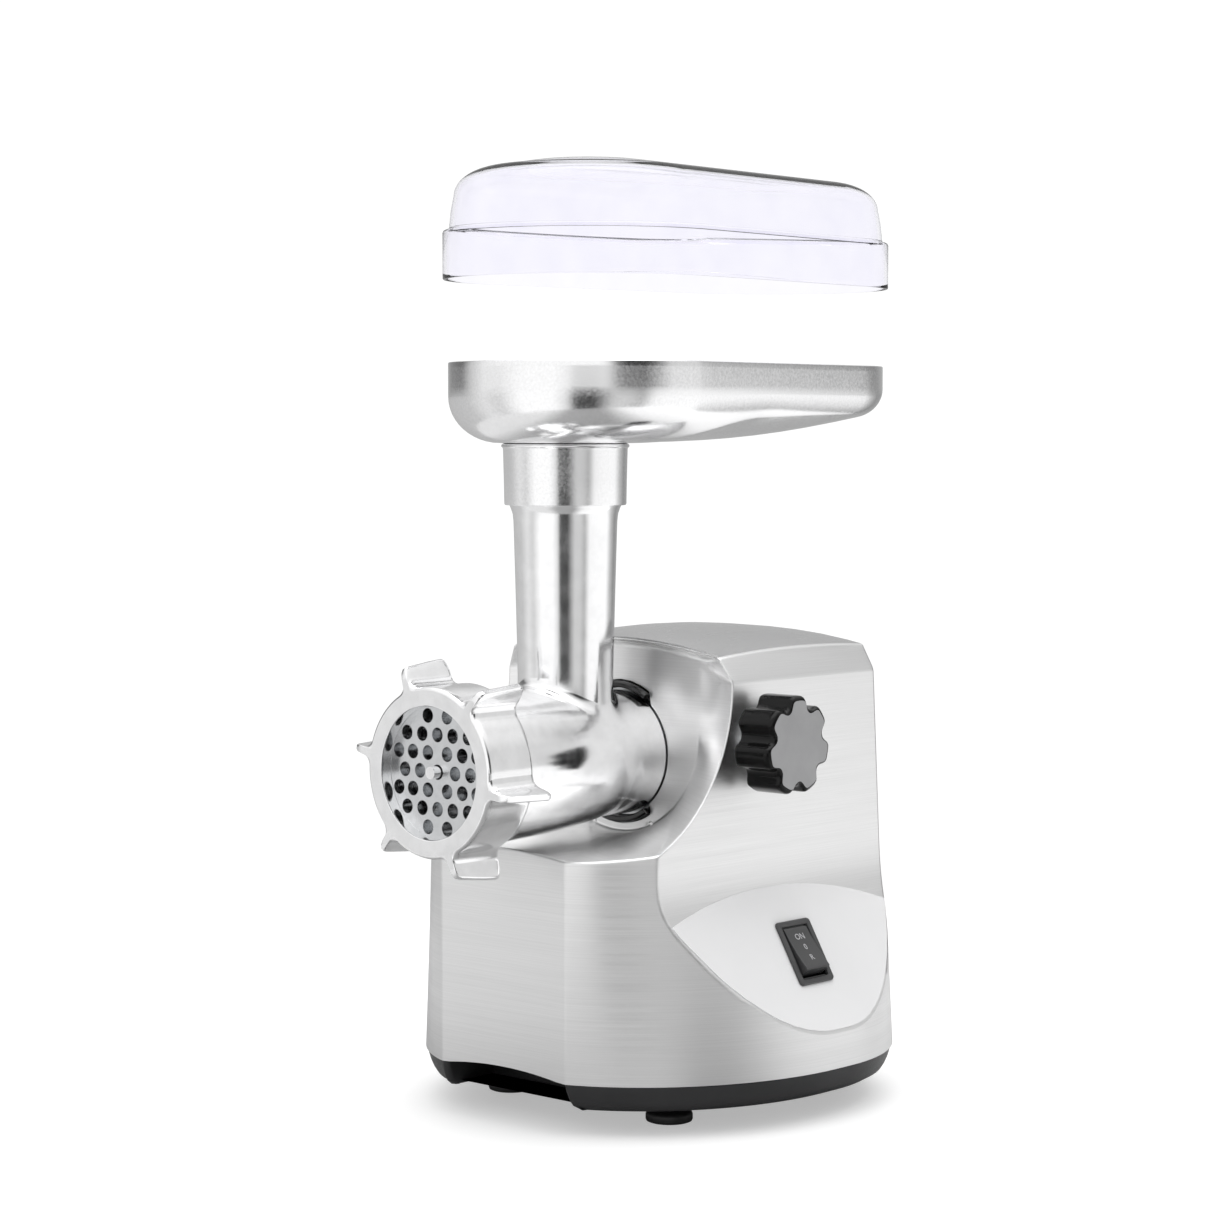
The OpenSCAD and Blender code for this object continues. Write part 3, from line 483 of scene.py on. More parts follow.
def tail(a, z):
    """Point on the rounded back corner, a is the angle from the widest point."""
    x, y = WIDEST_X * cos(a), TAIL_Y + TAIL_LEN * sin(a)
    nx, ny = cos(a) / WIDEST_X, sin(a) / TAIL_LEN
    length = hypot(nx, ny)
    inset = DRAFT * (z - EDGE_Z) * smooth(x, BACK_HALF, WAIST)
    y = min(y, BACK_Y)
    return x - nx / length * inset, y - ny / length * inset


TAIL_END = acos(BACK_HALF / WIDEST_X)


def solve(function, z, start, end):
    """Parameter at which function(t, z) has the side's X, or end when it never does."""
    target = side_x(z)
    if function(end, z)[0] <= target:
        return end
    for _ in range(50):
        middle = (start + end) / 2
        if function(middle, z)[0] < target:
            start = middle
        else:
            end = middle
    return (start + end) / 2


def flank_end(z):
    return solve(flank, z, 0.0, 1.0)


def tail_start(z):
    return solve(tail, z, TAIL_END, 0.0)


def lowest_side():
    """Height at which the tilted face runs out into the widest point of the foot."""
    z = EDGE_Z
    while side_x(z) > flank(1.0, z)[0]:
        z += 0.01
    return z


def ledge_z(x):
    drop = 3.0
    if x <= PANEL_HALF:
        return SHELF_Z - drop * (x / PANEL_HALF) ** 2
    return SHELF_Z - drop + drop * clamp((x - PANEL_HALF) / (WAIST - PANEL_HALF)) ** 2


def hood_y(z):
    """The crease where the side meets the hollow front, an arc in side view."""
    arc_z, arc_r = 216.0, 86.8
    foot = 1 - sqrt(1 - ((arc_z - SHELF_Z) / arc_r) ** 2)
    rise = 1 - sqrt(1 - (max(0.0, arc_z - z) / arc_r) ** 2)
    start_y = flank(flank_end(SHELF_Z), SHELF_Z)[1]
    return 134.0 - (134.0 - start_y) * rise / foot


def crown_z(y):
    return 235.5 + 4.5 * (1 - ((y - 190.0) / 59.0) ** 2)


LOW_SIDE = lowest_side()
FOOT_ROWS = [lerp(EDGE_Z, LOW_SIDE, t) for t in steps(4)]
TILT_ROWS = [LOW_SIDE + (SHELF_Z - LOW_SIDE) * t * t for t in steps(26)][1:]
LOWER_ROWS = FOOT_ROWS + TILT_ROWS
N_UPPER = 18
HOOD_ROWS = [lerp(SHELF_Z, BELT_Z, t) for t in steps(N_UPPER)]
N_PANEL, N_FLANK, N_SIDE, N_TAIL, N_BACK = 8, 20, 18, 22, 5
ARCH_HALF, ARCH_RISE = 39.0, 3.0  # arch in the panel's foot


def flank_columns(z):
    """Front outline at height z as one row of the wall below the ledge, panel to side."""
    last = flank_end(z)
    row = []
    share = (z - EDGE_Z) / (SHELF_Z - EDGE_Z)
    for t in steps(N_PANEL):
        x = PANEL_HALF * t
        foot = EDGE_Z + ARCH_RISE * max(0.0, 1 - (x / ARCH_HALF) ** 2)
        row.append((x, PANEL_Y, lerp(foot, ledge_z(x), share)))
    for t in steps(N_FLANK)[1:]:
        top_x = flank(flank_end(SHELF_Z) * t, SHELF_Z)[0]
        height = lerp(EDGE_Z, ledge_z(top_x), share) if t < 1 else z
        row.append((*flank(last * t, height), height))
    return row


def side_columns(z, front_y=None):
    """The side at height z as one row, from the flank or from front_y to the back corner."""
    back_y = tail(tail_start(z), z)[1]
    front = flank(flank_end(z), z)
    x = min(side_x(z), front[0])
    y0 = front[1] if front_y is None else front_y
    return [(x, lerp(y0, back_y, t), z) for t in steps(N_SIDE)]


def belt_z(t):
    """Height of the shoulder's lower edge round the back corner, t from side to back."""
    return BELT_Z - 20.0 * smooth(t)


def tail_columns(level):
    """Back corner and back wall; level gives the height for a share of the corner."""
    row = []
    for t in steps(N_TAIL):
        z = level(t)
        row.append((*tail(lerp(tail_start(z), TAIL_END, t), z), z))
    z = level(1.0)
    row += [(BACK_HALF * (1 - t), BACK_Y, z) for t in steps(N_BACK)[1:]]
    return row


def casing_walls():
    foot = [[mix((*flank(1.0, z), z), (*tail(0.0, z), z), t) for t in steps(N_SIDE)]
            for z in FOOT_ROWS[:-1]]
    surface = Surface()
    for rows in ([flank_columns(z) for z in LOWER_ROWS],
                 foot + [side_columns(LOW_SIDE)],
                 [side_columns(z) for z in [LOW_SIDE] + TILT_ROWS],
                 [side_columns(z, hood_y(z)) for z in HOOD_ROWS],
                 [tail_columns(lambda t, z=z: z) for z in LOWER_ROWS],
                 [tail_columns(lambda t, s=s: lerp(SHELF_Z, belt_z(t), s))
                  for s in steps(N_UPPER)]):
        surface.add_rows(rows, closed=False)
    return surface


# Sections of the shoulder and roof as shares (way in to the ridge, way up to the crown).
SIDE_RIB = [(0, 0), (0.028, 0.21), (0.057, 0.42), (0.085, 0.63), (0.2, 0.72), (0.4, 0.845),
            (0.6, 0.93), (0.8, 0.982), (1, 1)]
BACK_RIB = [(1 - cos(a * pi / 16), sin(a * pi / 16)) for a in range(9)]
APEX_Y = 236.0


def rib(belt, turn, along):
    """Section from the belt to the ridge; turn is 0 on the side and 1 on the back."""
    x, y, z = belt
    ridge_y = lerp(ROOF_FRONT_Y, APEX_Y, along)
    points = []
    for (us, vs), (ub, vb) in zip(SIDE_RIB, BACK_RIB):
        u, v = lerp(us, ub, turn), lerp(vs, vb, turn)
        reach = lerp(min(1.0, u / SIDE_RIB[3][0]), u, smooth(along, 0, 0.6))
        points.append((x * (1 - u), lerp(y, ridge_y, reach), lerp(z, crown_z(ridge_y), v)))
    return points


def casing_roof():
    side = side_columns(BELT_Z, hood_y(BELT_Z))
    ribs = [rib(p, 0.0, t) for p, t in zip(side, steps(N_SIDE))]
    back = tail_columns(belt_z)
    ribs += [rib(p, smooth(i / N_TAIL), 1.0) for i, p in enumerate(back[1:], 1)]
    surface = Surface()
    surface.add_rows([r[:4] for r in ribs], closed=False)
    # Kind 1 marks the roof faces, which get the darker steel with painted shade.
    surface.add_rows([r[3:] for r in ribs], closed=False, kind=1)
    return surface, ribs[0]


POCKET_R, POCKET_Z = 52.0, 189.0  # round part of the flat flange's outline
POCKET_EAVE, POCKET_TOP, POCKET_BOW = 222.0, 225.5, 5.0
MOUTH_R = 32.0
WINDOW_R, WINDOW_HALF = 36.8, 34.0  # bayonet windows: radius and half angle in degrees


def pocket_edge(count_ledge, count_hood, count_shoulder, count_top):
    """The flat flange's outline, from its lowest point up one side to the middle of its top."""
    turn_at = radians(-38)
    points = [(POCKET_R * cos(a), FLANGE_Y, POCKET_Z + POCKET_R * sin(a))
              for a in [lerp(-pi / 2, turn_at, t) for t in steps(count_ledge)]]
    arc_len = -turn_at * POCKET_R
    rise = POCKET_EAVE - POCKET_Z
    for t in steps(count_hood)[1:]:
        d = t * (arc_len + rise)
        if d < arc_len:
            a = turn_at + d / POCKET_R
            points.append((POCKET_R * cos(a), FLANGE_Y, POCKET_Z + POCKET_R * sin(a)))
        else:
            points.append((POCKET_R, FLANGE_Y, POCKET_Z + d - arc_len))
    for t in steps(count_shoulder)[1:]:
        points.append((POCKET_R, FLANGE_Y, lerp(POCKET_EAVE, POCKET_TOP, t)))
    for t in steps(count_top)[1:]:
        points.append((POCKET_R * (1 - t), FLANGE_Y, POCKET_TOP + POCKET_BOW * sin(t * pi / 2)))
    return points


def socket_hole(x, z):
    """Point of the socket's hole, mouth or bayonet window, on the ray through (x, z)."""
    reach = hypot(x, z - AXIS_Z)
    window = smooth(abs(z - AXIS_Z) / reach, cos(radians(WINDOW_HALF + 3)),
                    cos(radians(WINDOW_HALF)))
    r = lerp(MOUTH_R, WINDOW_R, window)
    return x / reach * r, FLANGE_Y, AXIS_Z + (z - AXIS_Z) / reach * r


def casing_front(front_rib):
    """The hollow front, ruled from the ledge and hood crease to the flange, and the flange."""
    ledge = flank_columns(SHELF_Z)
    outer = ledge + [(WAIST, hood_y(z), z) for z in HOOD_ROWS[1:]] + front_rib[1:]
    inner = pocket_edge(len(ledge) - 1, N_UPPER, 3, len(front_rib) - 4)
    sag = [1.6 * smooth(k, len(ledge) * 0.4, len(ledge) + 4) for k in range(len(outer))]
    hollow = []
    for t in steps(9):
        points = [mix(p, q, t) for p, q in zip(outer, inner)]
        hollow.append([(x, y + sin(pi * t) * depth, z) for (x, y, z), depth in zip(points, sag)])
    flange = [[mix(p, socket_hole(p[0], p[2]), t) for p in inner] for t in steps(4)]
    return Surface().add_rows(hollow, closed=False).add_rows(flange, closed=False)


def join(*surfaces):
    whole = Surface()
    for s in surfaces:
        start = len(whole.verts)
        whole.verts.extend(s.verts)
        whole.faces.extend([tuple(start + i for i in f) for f in s.faces])
        whole.kinds.extend(s.kinds)
    return whole


def casing_crease(edge):
    """Creases that get a rounded edge: those well above the foot of the tilted face."""
    heights = [v.co.z / MM for v in edge.verts]
    front = all((v.co.y - FRONT) / MM < PANEL_Y + 1 for v in edge.verts)
    return folded(edge, 17) and (min(heights) > 66 or front)


KNOB_Y, KNOB_Z = 150.0, centre("clamp_screw")[2]
SWITCH_Z = 81.0
SWITCH_AT = (TILT_X + TILT_SLOPE * (TILT_Z - SWITCH_Z), centre("switch_frame")[1], SWITCH_Z)
TILT = atan2(TILT_SLOPE, 1)


def on_face(u, v, w):
    """Point on the tilted face: u up the face, v back along it, w straight out of it."""
    return (SWITCH_AT[0] - sin(TILT) * u + cos(TILT) * w, SWITCH_AT[1] + v,
            SWITCH_AT[2] + cos(TILT) * u + sin(TILT) * w)


def rounded_box(half_u, half_v, r, n=5):
    """Corner points of a rounded rectangle, as (u, v)."""
    points = []
    for k, (su, sv) in enumerate(((1, 1), (-1, 1), (-1, -1), (1, -1))):
        for t in steps(n):
            a = (k + t) * pi / 2
            points.append((su * (half_u - r) + r * cos(a), sv * (half_v - r) + r * sin(a)))
    return points


def face_rows(levels, n=5):
    """Rows of a rounded block on the tilted face; each level is (half_u, half_v, r, w)."""
    return [[on_face(u, v, w) for u, v in rounded_box(hu, hv, r, n)] for hu, hv, r, w in levels]


def switch_cutter(half_u, half_v):
    return cutter(face_rows([(half_u, half_v, 0.6, w) for w in (-8, 6)]))


CASING_T = 1.6
VENTS, VENT_PITCH = 7, 9
BUSH_HOLE_R = INLET_HOLE_R = 8.05


def vent_cutters():
    """Slots through the back wall behind the vent panel, from its foot up."""
    made = []
    for i in range(VENTS):
        z = low("rear_panel")[2] + 11 + i * VENT_PITCH
        made.append(cutter([[(x, y, z + up) for x, up in rounded_box(25, 2, 1.9)]
                            for y in (BACK_Y - 9, BACK_Y + 3)]))
    return made


def make_casing():
    roof, front_rib = casing_roof()
    work = build_mesh(join(casing_walls(), roof, casing_front(front_rib)).mirrored(), 0.02)
    face_outward(work, lambda f: f.normal.x * (1 if f.calc_center_median().x > 0 else -1))
    round_edges(work, 1.3, 4, casing_crease)
    shell = finish_piece("casing_shell", work, "root",
                         [MATERIALS["brushed_casing"], SHADED_ROOF_STEEL], ["casing"], 24, False)
    thicken(shell, CASING_T, -1)
    bush = cutter(spin_x([(BUSH_HOLE_R, WAIST - 6), (BUSH_HOLE_R, WAIST + 6)], 48, KNOB_Y, KNOB_Z))
    inlet = cutter(spin_y([(INLET_HOLE_R, BACK_Y - 6), (INLET_HOLE_R, BACK_Y + 6)], 48,
                          centre("cable_inlet")[2]))
    cut(shell, vent_cutters() + [bush, inlet, switch_cutter(13.9, 10.6)])
    shade(shell, 24)
    even_normals(shell)


LABEL_T = 0.45
LABEL_INSET = 1.6
LABEL_ARC = (160.0, -146.5, 260.0)  # centre (y, z) and radius of its top edge


def label_top(y):
    mid_y, mid_z, r = LABEL_ARC
    return mid_z + sqrt(max(0.0, r**2 - (y - mid_y) ** 2))


def label_columns():
    """Columns (y, z) of the label, each from the control face's lower crease to the arc."""
    crease = [(z, flank(flank_end(z), z)[1], tail(tail_start(z), z)[1])
              for z in [LOW_SIDE + (116.0 - LOW_SIDE) * t * t for t in steps(160)]]
    start = next(y for z, y, _ in reversed(crease) if z < label_top(y)) + LABEL_INSET * 0.5
    end = next(y for z, _, y in reversed(crease) if z < label_top(y)) - LABEL_INSET * 0.5
    columns = []
    for t in steps(60):
        y = lerp(start, end, 0.5 - 0.5 * cos(pi * t))
        inside = [z for z, front, back in crease if front <= y <= back]
        if inside:
            foot = min(min(inside) + LABEL_INSET, label_top(y) - 0.3)
            columns.append([(y, lerp(foot, label_top(y), s)) for s in steps(10)])
    return columns


def make_label():
    """The satin label on the control face: its foot follows the crease, its top is an arc."""
    rows = [[(side_x(z) + 0.05 * cos(TILT), y, z) for y, z in column]
            for column in label_columns()]
    work = build_mesh(Surface().add_rows(rows, closed=False))
    face_outward(work, lambda f: f.normal.x)
    label = finish_piece("side_label", work, "root", [MATERIALS["label_panel"]],
                         ["side_panel"], 30, False)
    thicken(label, LABEL_T, 1)
    cut(label, [switch_cutter(14.1, 10.8)])
    shade(label, 30)
    soften(label, 0.22, 2, 50)
    even_normals(label)


# ------------------------------------------------------------------ base and feet
RECESS_HALF, RECESS_DEPTH, RECESS_ROUND = 39.0, 35.0, 3.0


def foot_plan(inset, n=28):
    """Closed plan of the foot, set in, with the hand recess cut into its front."""
    x0 = RECESS_HALF + inset * 0.35
    half = [(0, PANEL_Y + RECESS_DEPTH), (x0 * 0.5, PANEL_Y + RECESS_DEPTH),
            (x0, PANEL_Y + RECESS_DEPTH), (x0, PANEL_Y + RECESS_DEPTH * 0.5)]
    half += [(x0 + RECESS_ROUND * (1 - cos(t * pi / 2)),
              PANEL_Y + inset + RECESS_ROUND * (1 - sin(t * pi / 2))) for t in steps(5)]
    for t in steps(n)[1:]:
        ahead, behind = flank(t + 1e-3, EDGE_Z), flank(t - 1e-3, EDGE_Z)
        tx, ty = ahead[0] - behind[0], ahead[1] - behind[1]
        length = hypot(tx, ty)
        x, y = flank(t, EDGE_Z)
        half.append((x - ty / length * inset, y + tx / length * inset))
    for a in [TAIL_END * t for t in steps(n)]:
        x, y = WIDEST_X * cos(a), TAIL_Y + TAIL_LEN * sin(a)
        nx, ny = cos(a) / WIDEST_X, sin(a) / TAIL_LEN
        length = hypot(nx, ny)
        half.append((x - nx / length * inset, min(y - ny / length * inset, BACK_Y - inset)))
    half.append((0, BACK_Y - inset))
    return half + [(-x, y) for x, y in reversed(half[1:-1])]


def make_base():
    """Black foot: a skirt that rounds in under the casing, with a recess at the front."""
    top = EDGE_Z - 0.2
    height = top - low("base")[2]
    levels = [(2.4, EDGE_Z + 5.5), (2.4, top), (0.9, top)]
    levels += [(0.9 + 8.6 * (1 - sqrt(max(0.0, 1 - t**2.2))),
                top - height * (0.18 * t + 0.82 * (1 - cos(t * pi / 2 * 0.98))))
               for t in steps(8)[1:]]
    lowest = levels[-1][1]
    levels += [(11.5, lowest), (12.5, lowest + 2.0)]
    surface = prism([[(x, y, z) for x, y in foot_plan(inset)] for inset, z in levels])
    piece_from("base_tray", surface, "root", "black_base", ["base"], 40, 0.5, 55)


def foot_centres():
    """Centres of the four CAD feet, from where they meet the ground."""
    ground = [(v.co.x / MM, (v.co.y - FRONT) / MM) for v in nodes["feet"].data.vertices
              if v.co.z < 0.0001]
    centres = []
    for side in (-1, 1):
        for near in (True, False):
            xs, ys = zip(*[(x, y) for x, y in ground if x * side > 0 and (y < 180) == near])
            centres.append(((min(xs) + max(xs)) / 2, (min(ys) + max(ys)) / 2))
    return centres


def make_feet():
    profile = [(4.6, 0.3), (5.2, 0.0), (10.3, 0.0), (11.3, 0.4), (11.7, 1.3), (11.7, 3.6),
               (11.3, 4.6), (10.1, 5.3), (8.4, 5.9), (7.2, 6.6), (6.8, 8.0), (6.8, 11.8)]
    for i, at_foot in enumerate(foot_centres()):
        piece_from("rubber_foot_%d" % (i + 1), prism(spin_z(profile, 56, at_foot)), "root",
                   "rubber_feet", ["feet"] if i == 0 else (), 40)


# ------------------------------------------------------------------ grinding head
# Outer surface of the head as (radius, y): thread and collar, tapering barrel, then the neck.
THREAD = [(37.6, 9.6), (38.2, 10.4), (38.2, 28.5), (37.7, 29.5)]
BARREL = [(37.6, 32), (37.5, 40), (37.2, 50), (36.8, 60), (36.2, 72), (35.5, 82), (34.6, 92),
          (33.7, 101), (32.6, 108), (31.9, 112), (31.6, 115), (31.5, 118), (31.5, 127)]
NECK = [(31.5, 135.6), (31.0, 136.6), (28.0, 136.8), (28.0, 170.5), (27.0, 171.8),
        (17.4, 171.8)]
BORE = [(35.1, 9.6), (35.1, 24.5), (27.0, 24.5), (27.0, 128.0), (11.1, 128.0), (11.1, 150.0),
        (17.0, 150.0), (17.4, 171.8)]
N_BARREL = 96
# Opening left in the barrel's skin for the tube: half its width in columns, and its rows' Y.
OPENING_HALF = 14
OPENING_Y = [57, 61, 65.5, 70, 75, 80, 85, 90.5, 96, 101.5, 106, 110, 113, 115, 117, 119, 121]
TUBE_Y, TUBE_R, TUBE_FILLET = 96.0, 23.8, 5.5
# The tube's outside and then its bore, as (radius, height above the barrel's axis).
TUBE = [(23.9, 46), (24.2, 60), (24.7, 80), (25.2, 98), (25.6, 112), (25.8, 118),
        (26.2, 121.5), (27.2, 124.4), (28.1, 126.4), (28.4, 128.5), (28.4, 153), (28.0, 155.2),
        (27.4, 155.4), (21.6, 155.4), (21.0, 154.6), (21.0, 60), (21.0, 25.0)]


def barrel_radius(y):
    for (r0, y0), (r1, y1) in zip(BARREL, BARREL[1:]):
        if y0 <= y <= y1:
            return lerp(r0, r1, (y - y0) / (y1 - y0))
    return BARREL[0][0] if y < BARREL[0][1] else BARREL[-1][0]


def on_barrel(a, y):
    """Point on the barrel's skin, a is the angle from straight up."""
    r = barrel_radius(y)
    return r * sin(a), y, AXIS_Z + r * cos(a)


def barrel_ring(r, y):
    return [(r * cos(a), y, AXIS_Z + r * sin(a))
            for a in [pi / 2 + 2 * pi * c / N_BARREL for c in range(N_BARREL)]]


def barrel_skin():
    outside = THREAD + BARREL + NECK
    profile = [(r, y) for r, y in outside if y < OPENING_Y[0]]
    first, last = len(profile), len(profile) + len(OPENING_Y) - 1
    profile += [(barrel_radius(y), y) for y in OPENING_Y]
    profile += [(r, y) for r, y in outside if y > OPENING_Y[-1]]
    surface = Surface()
    for r, y in profile:
        surface.verts.extend(barrel_ring(r, y))
    for k in range(len(profile) - 1):
        for c in range(N_BARREL):
            column = c if c < N_BARREL / 2 else c - N_BARREL
            if first <= k < last and -OPENING_HALF <= column < OPENING_HALF:
                continue
            d = (c + 1) % N_BARREL
            a, b = k * N_BARREL, (k + 1) * N_BARREL
            surface.faces.append((a + c, a + d, b + d, b + c))
            surface.kinds.append(0)
    return surface


def opening_edge():
    """The opening's border as (angle from straight up, y), from +X round by the back."""
    half, middle = OPENING_HALF, len(OPENING_Y) // 2
    border = [(-half, y) for y in OPENING_Y[middle:]]
    border += [(c, OPENING_Y[-1]) for c in range(-half + 1, half + 1)]
    border += [(half, y) for y in reversed(OPENING_Y[:-1])]
    border += [(c, OPENING_Y[0]) for c in range(half - 1, -half - 1, -1)]
    border += [(-half, y) for y in OPENING_Y[1:middle]]
    return [(-c * 2 * pi / N_BARREL, y) for c, y in border]


def tube_rows():
    """From the opening's border over the barrel, up through the fillet and the tube."""
    edge = opening_edge()
    angles = [2 * pi * i / len(edge) for i in range(len(edge))]
    reach = TUBE_R + TUBE_FILLET
    far = []
    for a in angles:
        y = TUBE_Y + reach * sin(a)
        far.append((asin(clamp(reach * cos(a) / barrel_radius(y), -1, 1)), y))
    rows = [[on_barrel(*mix(p, q, t)) for p, q in zip(edge, far)] for t in steps(6)]
    for t in steps(8)[1:]:
        row = []
        for a, (far_a, far_y) in zip(angles, far):
            foot = on_barrel(far_a, far_y)
            x, y = TUBE_R * cos(a), TUBE_Y + TUBE_R * sin(a)
            z = AXIS_Z + sqrt(max(0.0, barrel_radius(y) ** 2 - x * x))
            top_z = z + TUBE_FILLET if t < 1 else max(z + TUBE_FILLET, AXIS_Z + 41.5)
            row.append(mix(mix(foot, (x, y, z), t), mix((x, y, z), (x, y, top_z), t), t))
        rows.append(row)
    return rows + [[(r * cos(a), TUBE_Y + r * sin(a), AXIS_Z + z) for a in angles]
                   for r, z in TUBE]


def make_head():
    """Barrel with a feed tube that grows out of it through a fillet, in one casting."""
    surface = barrel_skin().add_rows(tube_rows())
    surface.add_rows([barrel_ring(r, y) for r, y in [THREAD[0]] + BORE])
    piece_from("head_casting", surface, "head_unit", "cast_aluminium", ["head"], 38)


NUT_R, NUT_MOUTH_R, NUT_THREAD_R = 41.3, 32.0, 38.4
LUGS, LUG_TURN = 6, radians(-10)


def nut_outline(shrink, height):
    """Closed front view; shrink sets the ring in, height is how far the lugs stand out."""
    ring = NUT_R - shrink
    fillet = min(5.6, max(0.6, height * 0.5))
    half = [(0.0, height), (0.9, height), (1.5, height - 0.5), (1.75, height - 1.4),
            (1.9, lerp(height - 1.4, fillet, 0.5)), (2.0, fillet)]
    half += [(2.0 + fillet * (1 - cos(b)), fillet * (1 - sin(b)))
             for b in [t * pi / 2 for t in steps(7)][1:]]
    edge = asin(half[-1][0] / ring)
    points = []
    for k in range(LUGS):
        middle = LUG_TURN + 2 * pi * k / LUGS
        for across, up in [(-s, h) for s, h in reversed(half[1:])] + half:
            radial = sqrt(ring * ring - across * across) + up
            points.append((radial * cos(middle) - across * sin(middle),
                           radial * sin(middle) + across * cos(middle)))
        for t in steps(12)[1:-1]:
            a = middle + edge + (2 * pi / LUGS - 2 * edge) * t
            points.append((ring * cos(a), ring * sin(a)))
    return points


def make_ring_nut():
    """Screw ring with grip lugs whose roots are filleted into the ring."""
    length = high("ring_nut")[1]

    def level(y, shrink, height):
        return [(x, y, AXIS_Z + z) for x, z in nut_outline(shrink, height)]

    def inner(y, r):
        """The same columns brought in to a circle."""
        return [(x / hypot(x, z) * r, y, AXIS_Z + z / hypot(x, z) * r)
                for x, z in nut_outline(1.5, 6.6)]

    outer = [level(0.0, 1.5, 6.6), level(0.25, 0.9, 8.2), level(0.8, 0.4, 9.6),
             level(1.8, 0.0, 10.6), level(4.0, 0.0, 11.4), level(10, 0, 12.2),
             level(18, 0, 13.2), level(25, 0, 13.9), level(27, 0, 13.9), level(28.4, 0, 13.1),
             level(29.3, 0.3, 11.6), level(length, 1.0, 9.6)]
    back = [inner(y, r) for y, r in
            ((length, NUT_THREAD_R + 0.5), (length - 0.5, NUT_THREAD_R), (6.5, NUT_THREAD_R),
             (6.5, NUT_MOUTH_R + 0.1), (6.3, NUT_MOUTH_R), (0.7, NUT_MOUTH_R),
             (0.15, NUT_MOUTH_R + 0.25), (0.0, NUT_MOUTH_R + 0.8), (0.0, 39.5))]
    surface = Surface().add_rows(outer + back + outer[:1])
    piece_from("ring_nut_casting", surface, "nut_unit", "cast_aluminium", ["ring_nut"], 34)


def make_bayonet():
    """Black socket ring with two raised arcs that hold the head's lugs."""
    face = FLANGE_Y + 1.7
    r1, r0 = WINDOW_R - 0.2, 32.2
    rows = spin_y([(r0, face + 3), (r0, face + 0.4), (r0 + 0.4, face), (r1 - 0.4, face),
                   (r1, face + 0.4), (r1, face + 3)], 96, AXIS_Z)
    surface = Surface().add_rows(rows + rows[:1])
    section = [(r0 + 0.6, face + 0.5), (r0 + 0.6, face - 4.7), (r0 + 1.2, face - 5.2),
               (r1 - 1.5, face - 5.2), (r1 - 0.6, face - 4.4), (r1 - 0.4, face + 0.5)]
    arcs = []
    for middle in (90, 270):
        turns = [radians(middle + (WINDOW_HALF - 1) * (2 * t - 1)) for t in steps(28)]
        arcs.append(prism([[(r * cos(a), y, AXIS_Z + r * sin(a)) for r, y in section]
                           for a in turns]))
    piece_from("bayonet_socket", join(surface, *arcs), "root", "black_gloss", ["bayonet_ring"],
               34, 0.25, 50)


# ------------------------------------------------------------------ tray and lid
DEEP_Y, SHALLOW_Y = 113.0, 259.0
DEEP_R = high("tray")[0]
SHALLOW_R = high("tray")[1] - SHALLOW_Y
RIM_Z = high("tray")[2]
FLOOR_Z = low("tray")[2]


COLLAR_R, THROAT_R = 30.6, 22.3


def pan(offset, quarter=36, straight=14):
    """Plan of the tray's rim, grown by offset: two round ends joined by straight sides."""
    r0, r1 = DEEP_R + offset, SHALLOW_R + offset
    lean = asin((r0 - r1) / (SHALLOW_Y - DEEP_Y))

    def deep(a):
        return r0 * cos(a), DEEP_Y + r0 * sin(a)

    def shallow(a):
        return r1 * cos(a), SHALLOW_Y + r1 * sin(a)

    half = [deep(lerp(-pi / 2, lean, t)) for t in steps(quarter)[:-1]]
    half += [mix(deep(lean), shallow(lean), t) for t in steps(straight)[:-1]]
    half += [shallow(lerp(lean, pi / 2, t)) for t in steps(quarter)]
    return half + [(-x, y) for x, y in reversed(half[1:-1])]


def tray_line(x, y):
    """Down the wall from a point of the rim, then along the floor to the collar."""
    reach = hypot(x, y - TUBE_Y)
    end_x, end_y = x / reach * COLLAR_R, TUBE_Y + (y - TUBE_Y) / reach * COLLAR_R
    length = hypot(x - end_x, y - end_y)
    shallow, behind = smooth(y, 96, 190), smooth(y, 270, 317)
    rise = lerp(0.0, lerp(16.5, 16.0, behind), shallow)
    across = min(lerp(36.0, lerp(11.0, 21.0, behind), shallow), length * 0.92)
    down = lerp(23.0, lerp(8.0, 15.0, behind), shallow)

    def floor_at(d):
        t = clamp((length - d) / length)
        return FLOOR_Z + rise * t - 4.6 * shallow * sin(pi * t)

    line = [(0.0, RIM_Z)]
    line += [(0.0, lerp(RIM_Z - 3, floor_at(0.0) + down, t)) for t in steps(3)[:-1]]
    for t in steps(12):
        d = across * (1 - cos(t * pi / 2))
        line.append((d, floor_at(d) + down * (1 - sin(t * pi / 2))))
    for t in steps(9)[1:]:
        d = lerp(across, length, t)
        line.append((d, floor_at(d)))
    return [(lerp(x, end_x, d / length), lerp(y, end_y, d / length), z) for d, z in line]


def make_tray():
    """Pressed tray: upright wall, a round deep end, and a floor that falls to the collar."""
    rows = list(zip(*[tray_line(x, y) for x, y in pan(0.0)]))
    rows.append([(x * THROAT_R / COLLAR_R, TUBE_Y + (y - TUBE_Y) * THROAT_R / COLLAR_R, FLOOR_Z)
                 for x, y, _ in rows[-1]])
    work = build_mesh(Surface().add_rows(rows))
    face_outward(work, lambda face: -face.normal.z)
    tray = finish_piece("tray_pan", work, "tray_unit",
                        [MATERIALS["spun_aluminium"]], ["tray"], 60, False)
    thicken(tray, 1.8, -1)
    soften(tray, 0.6, 3, 60)


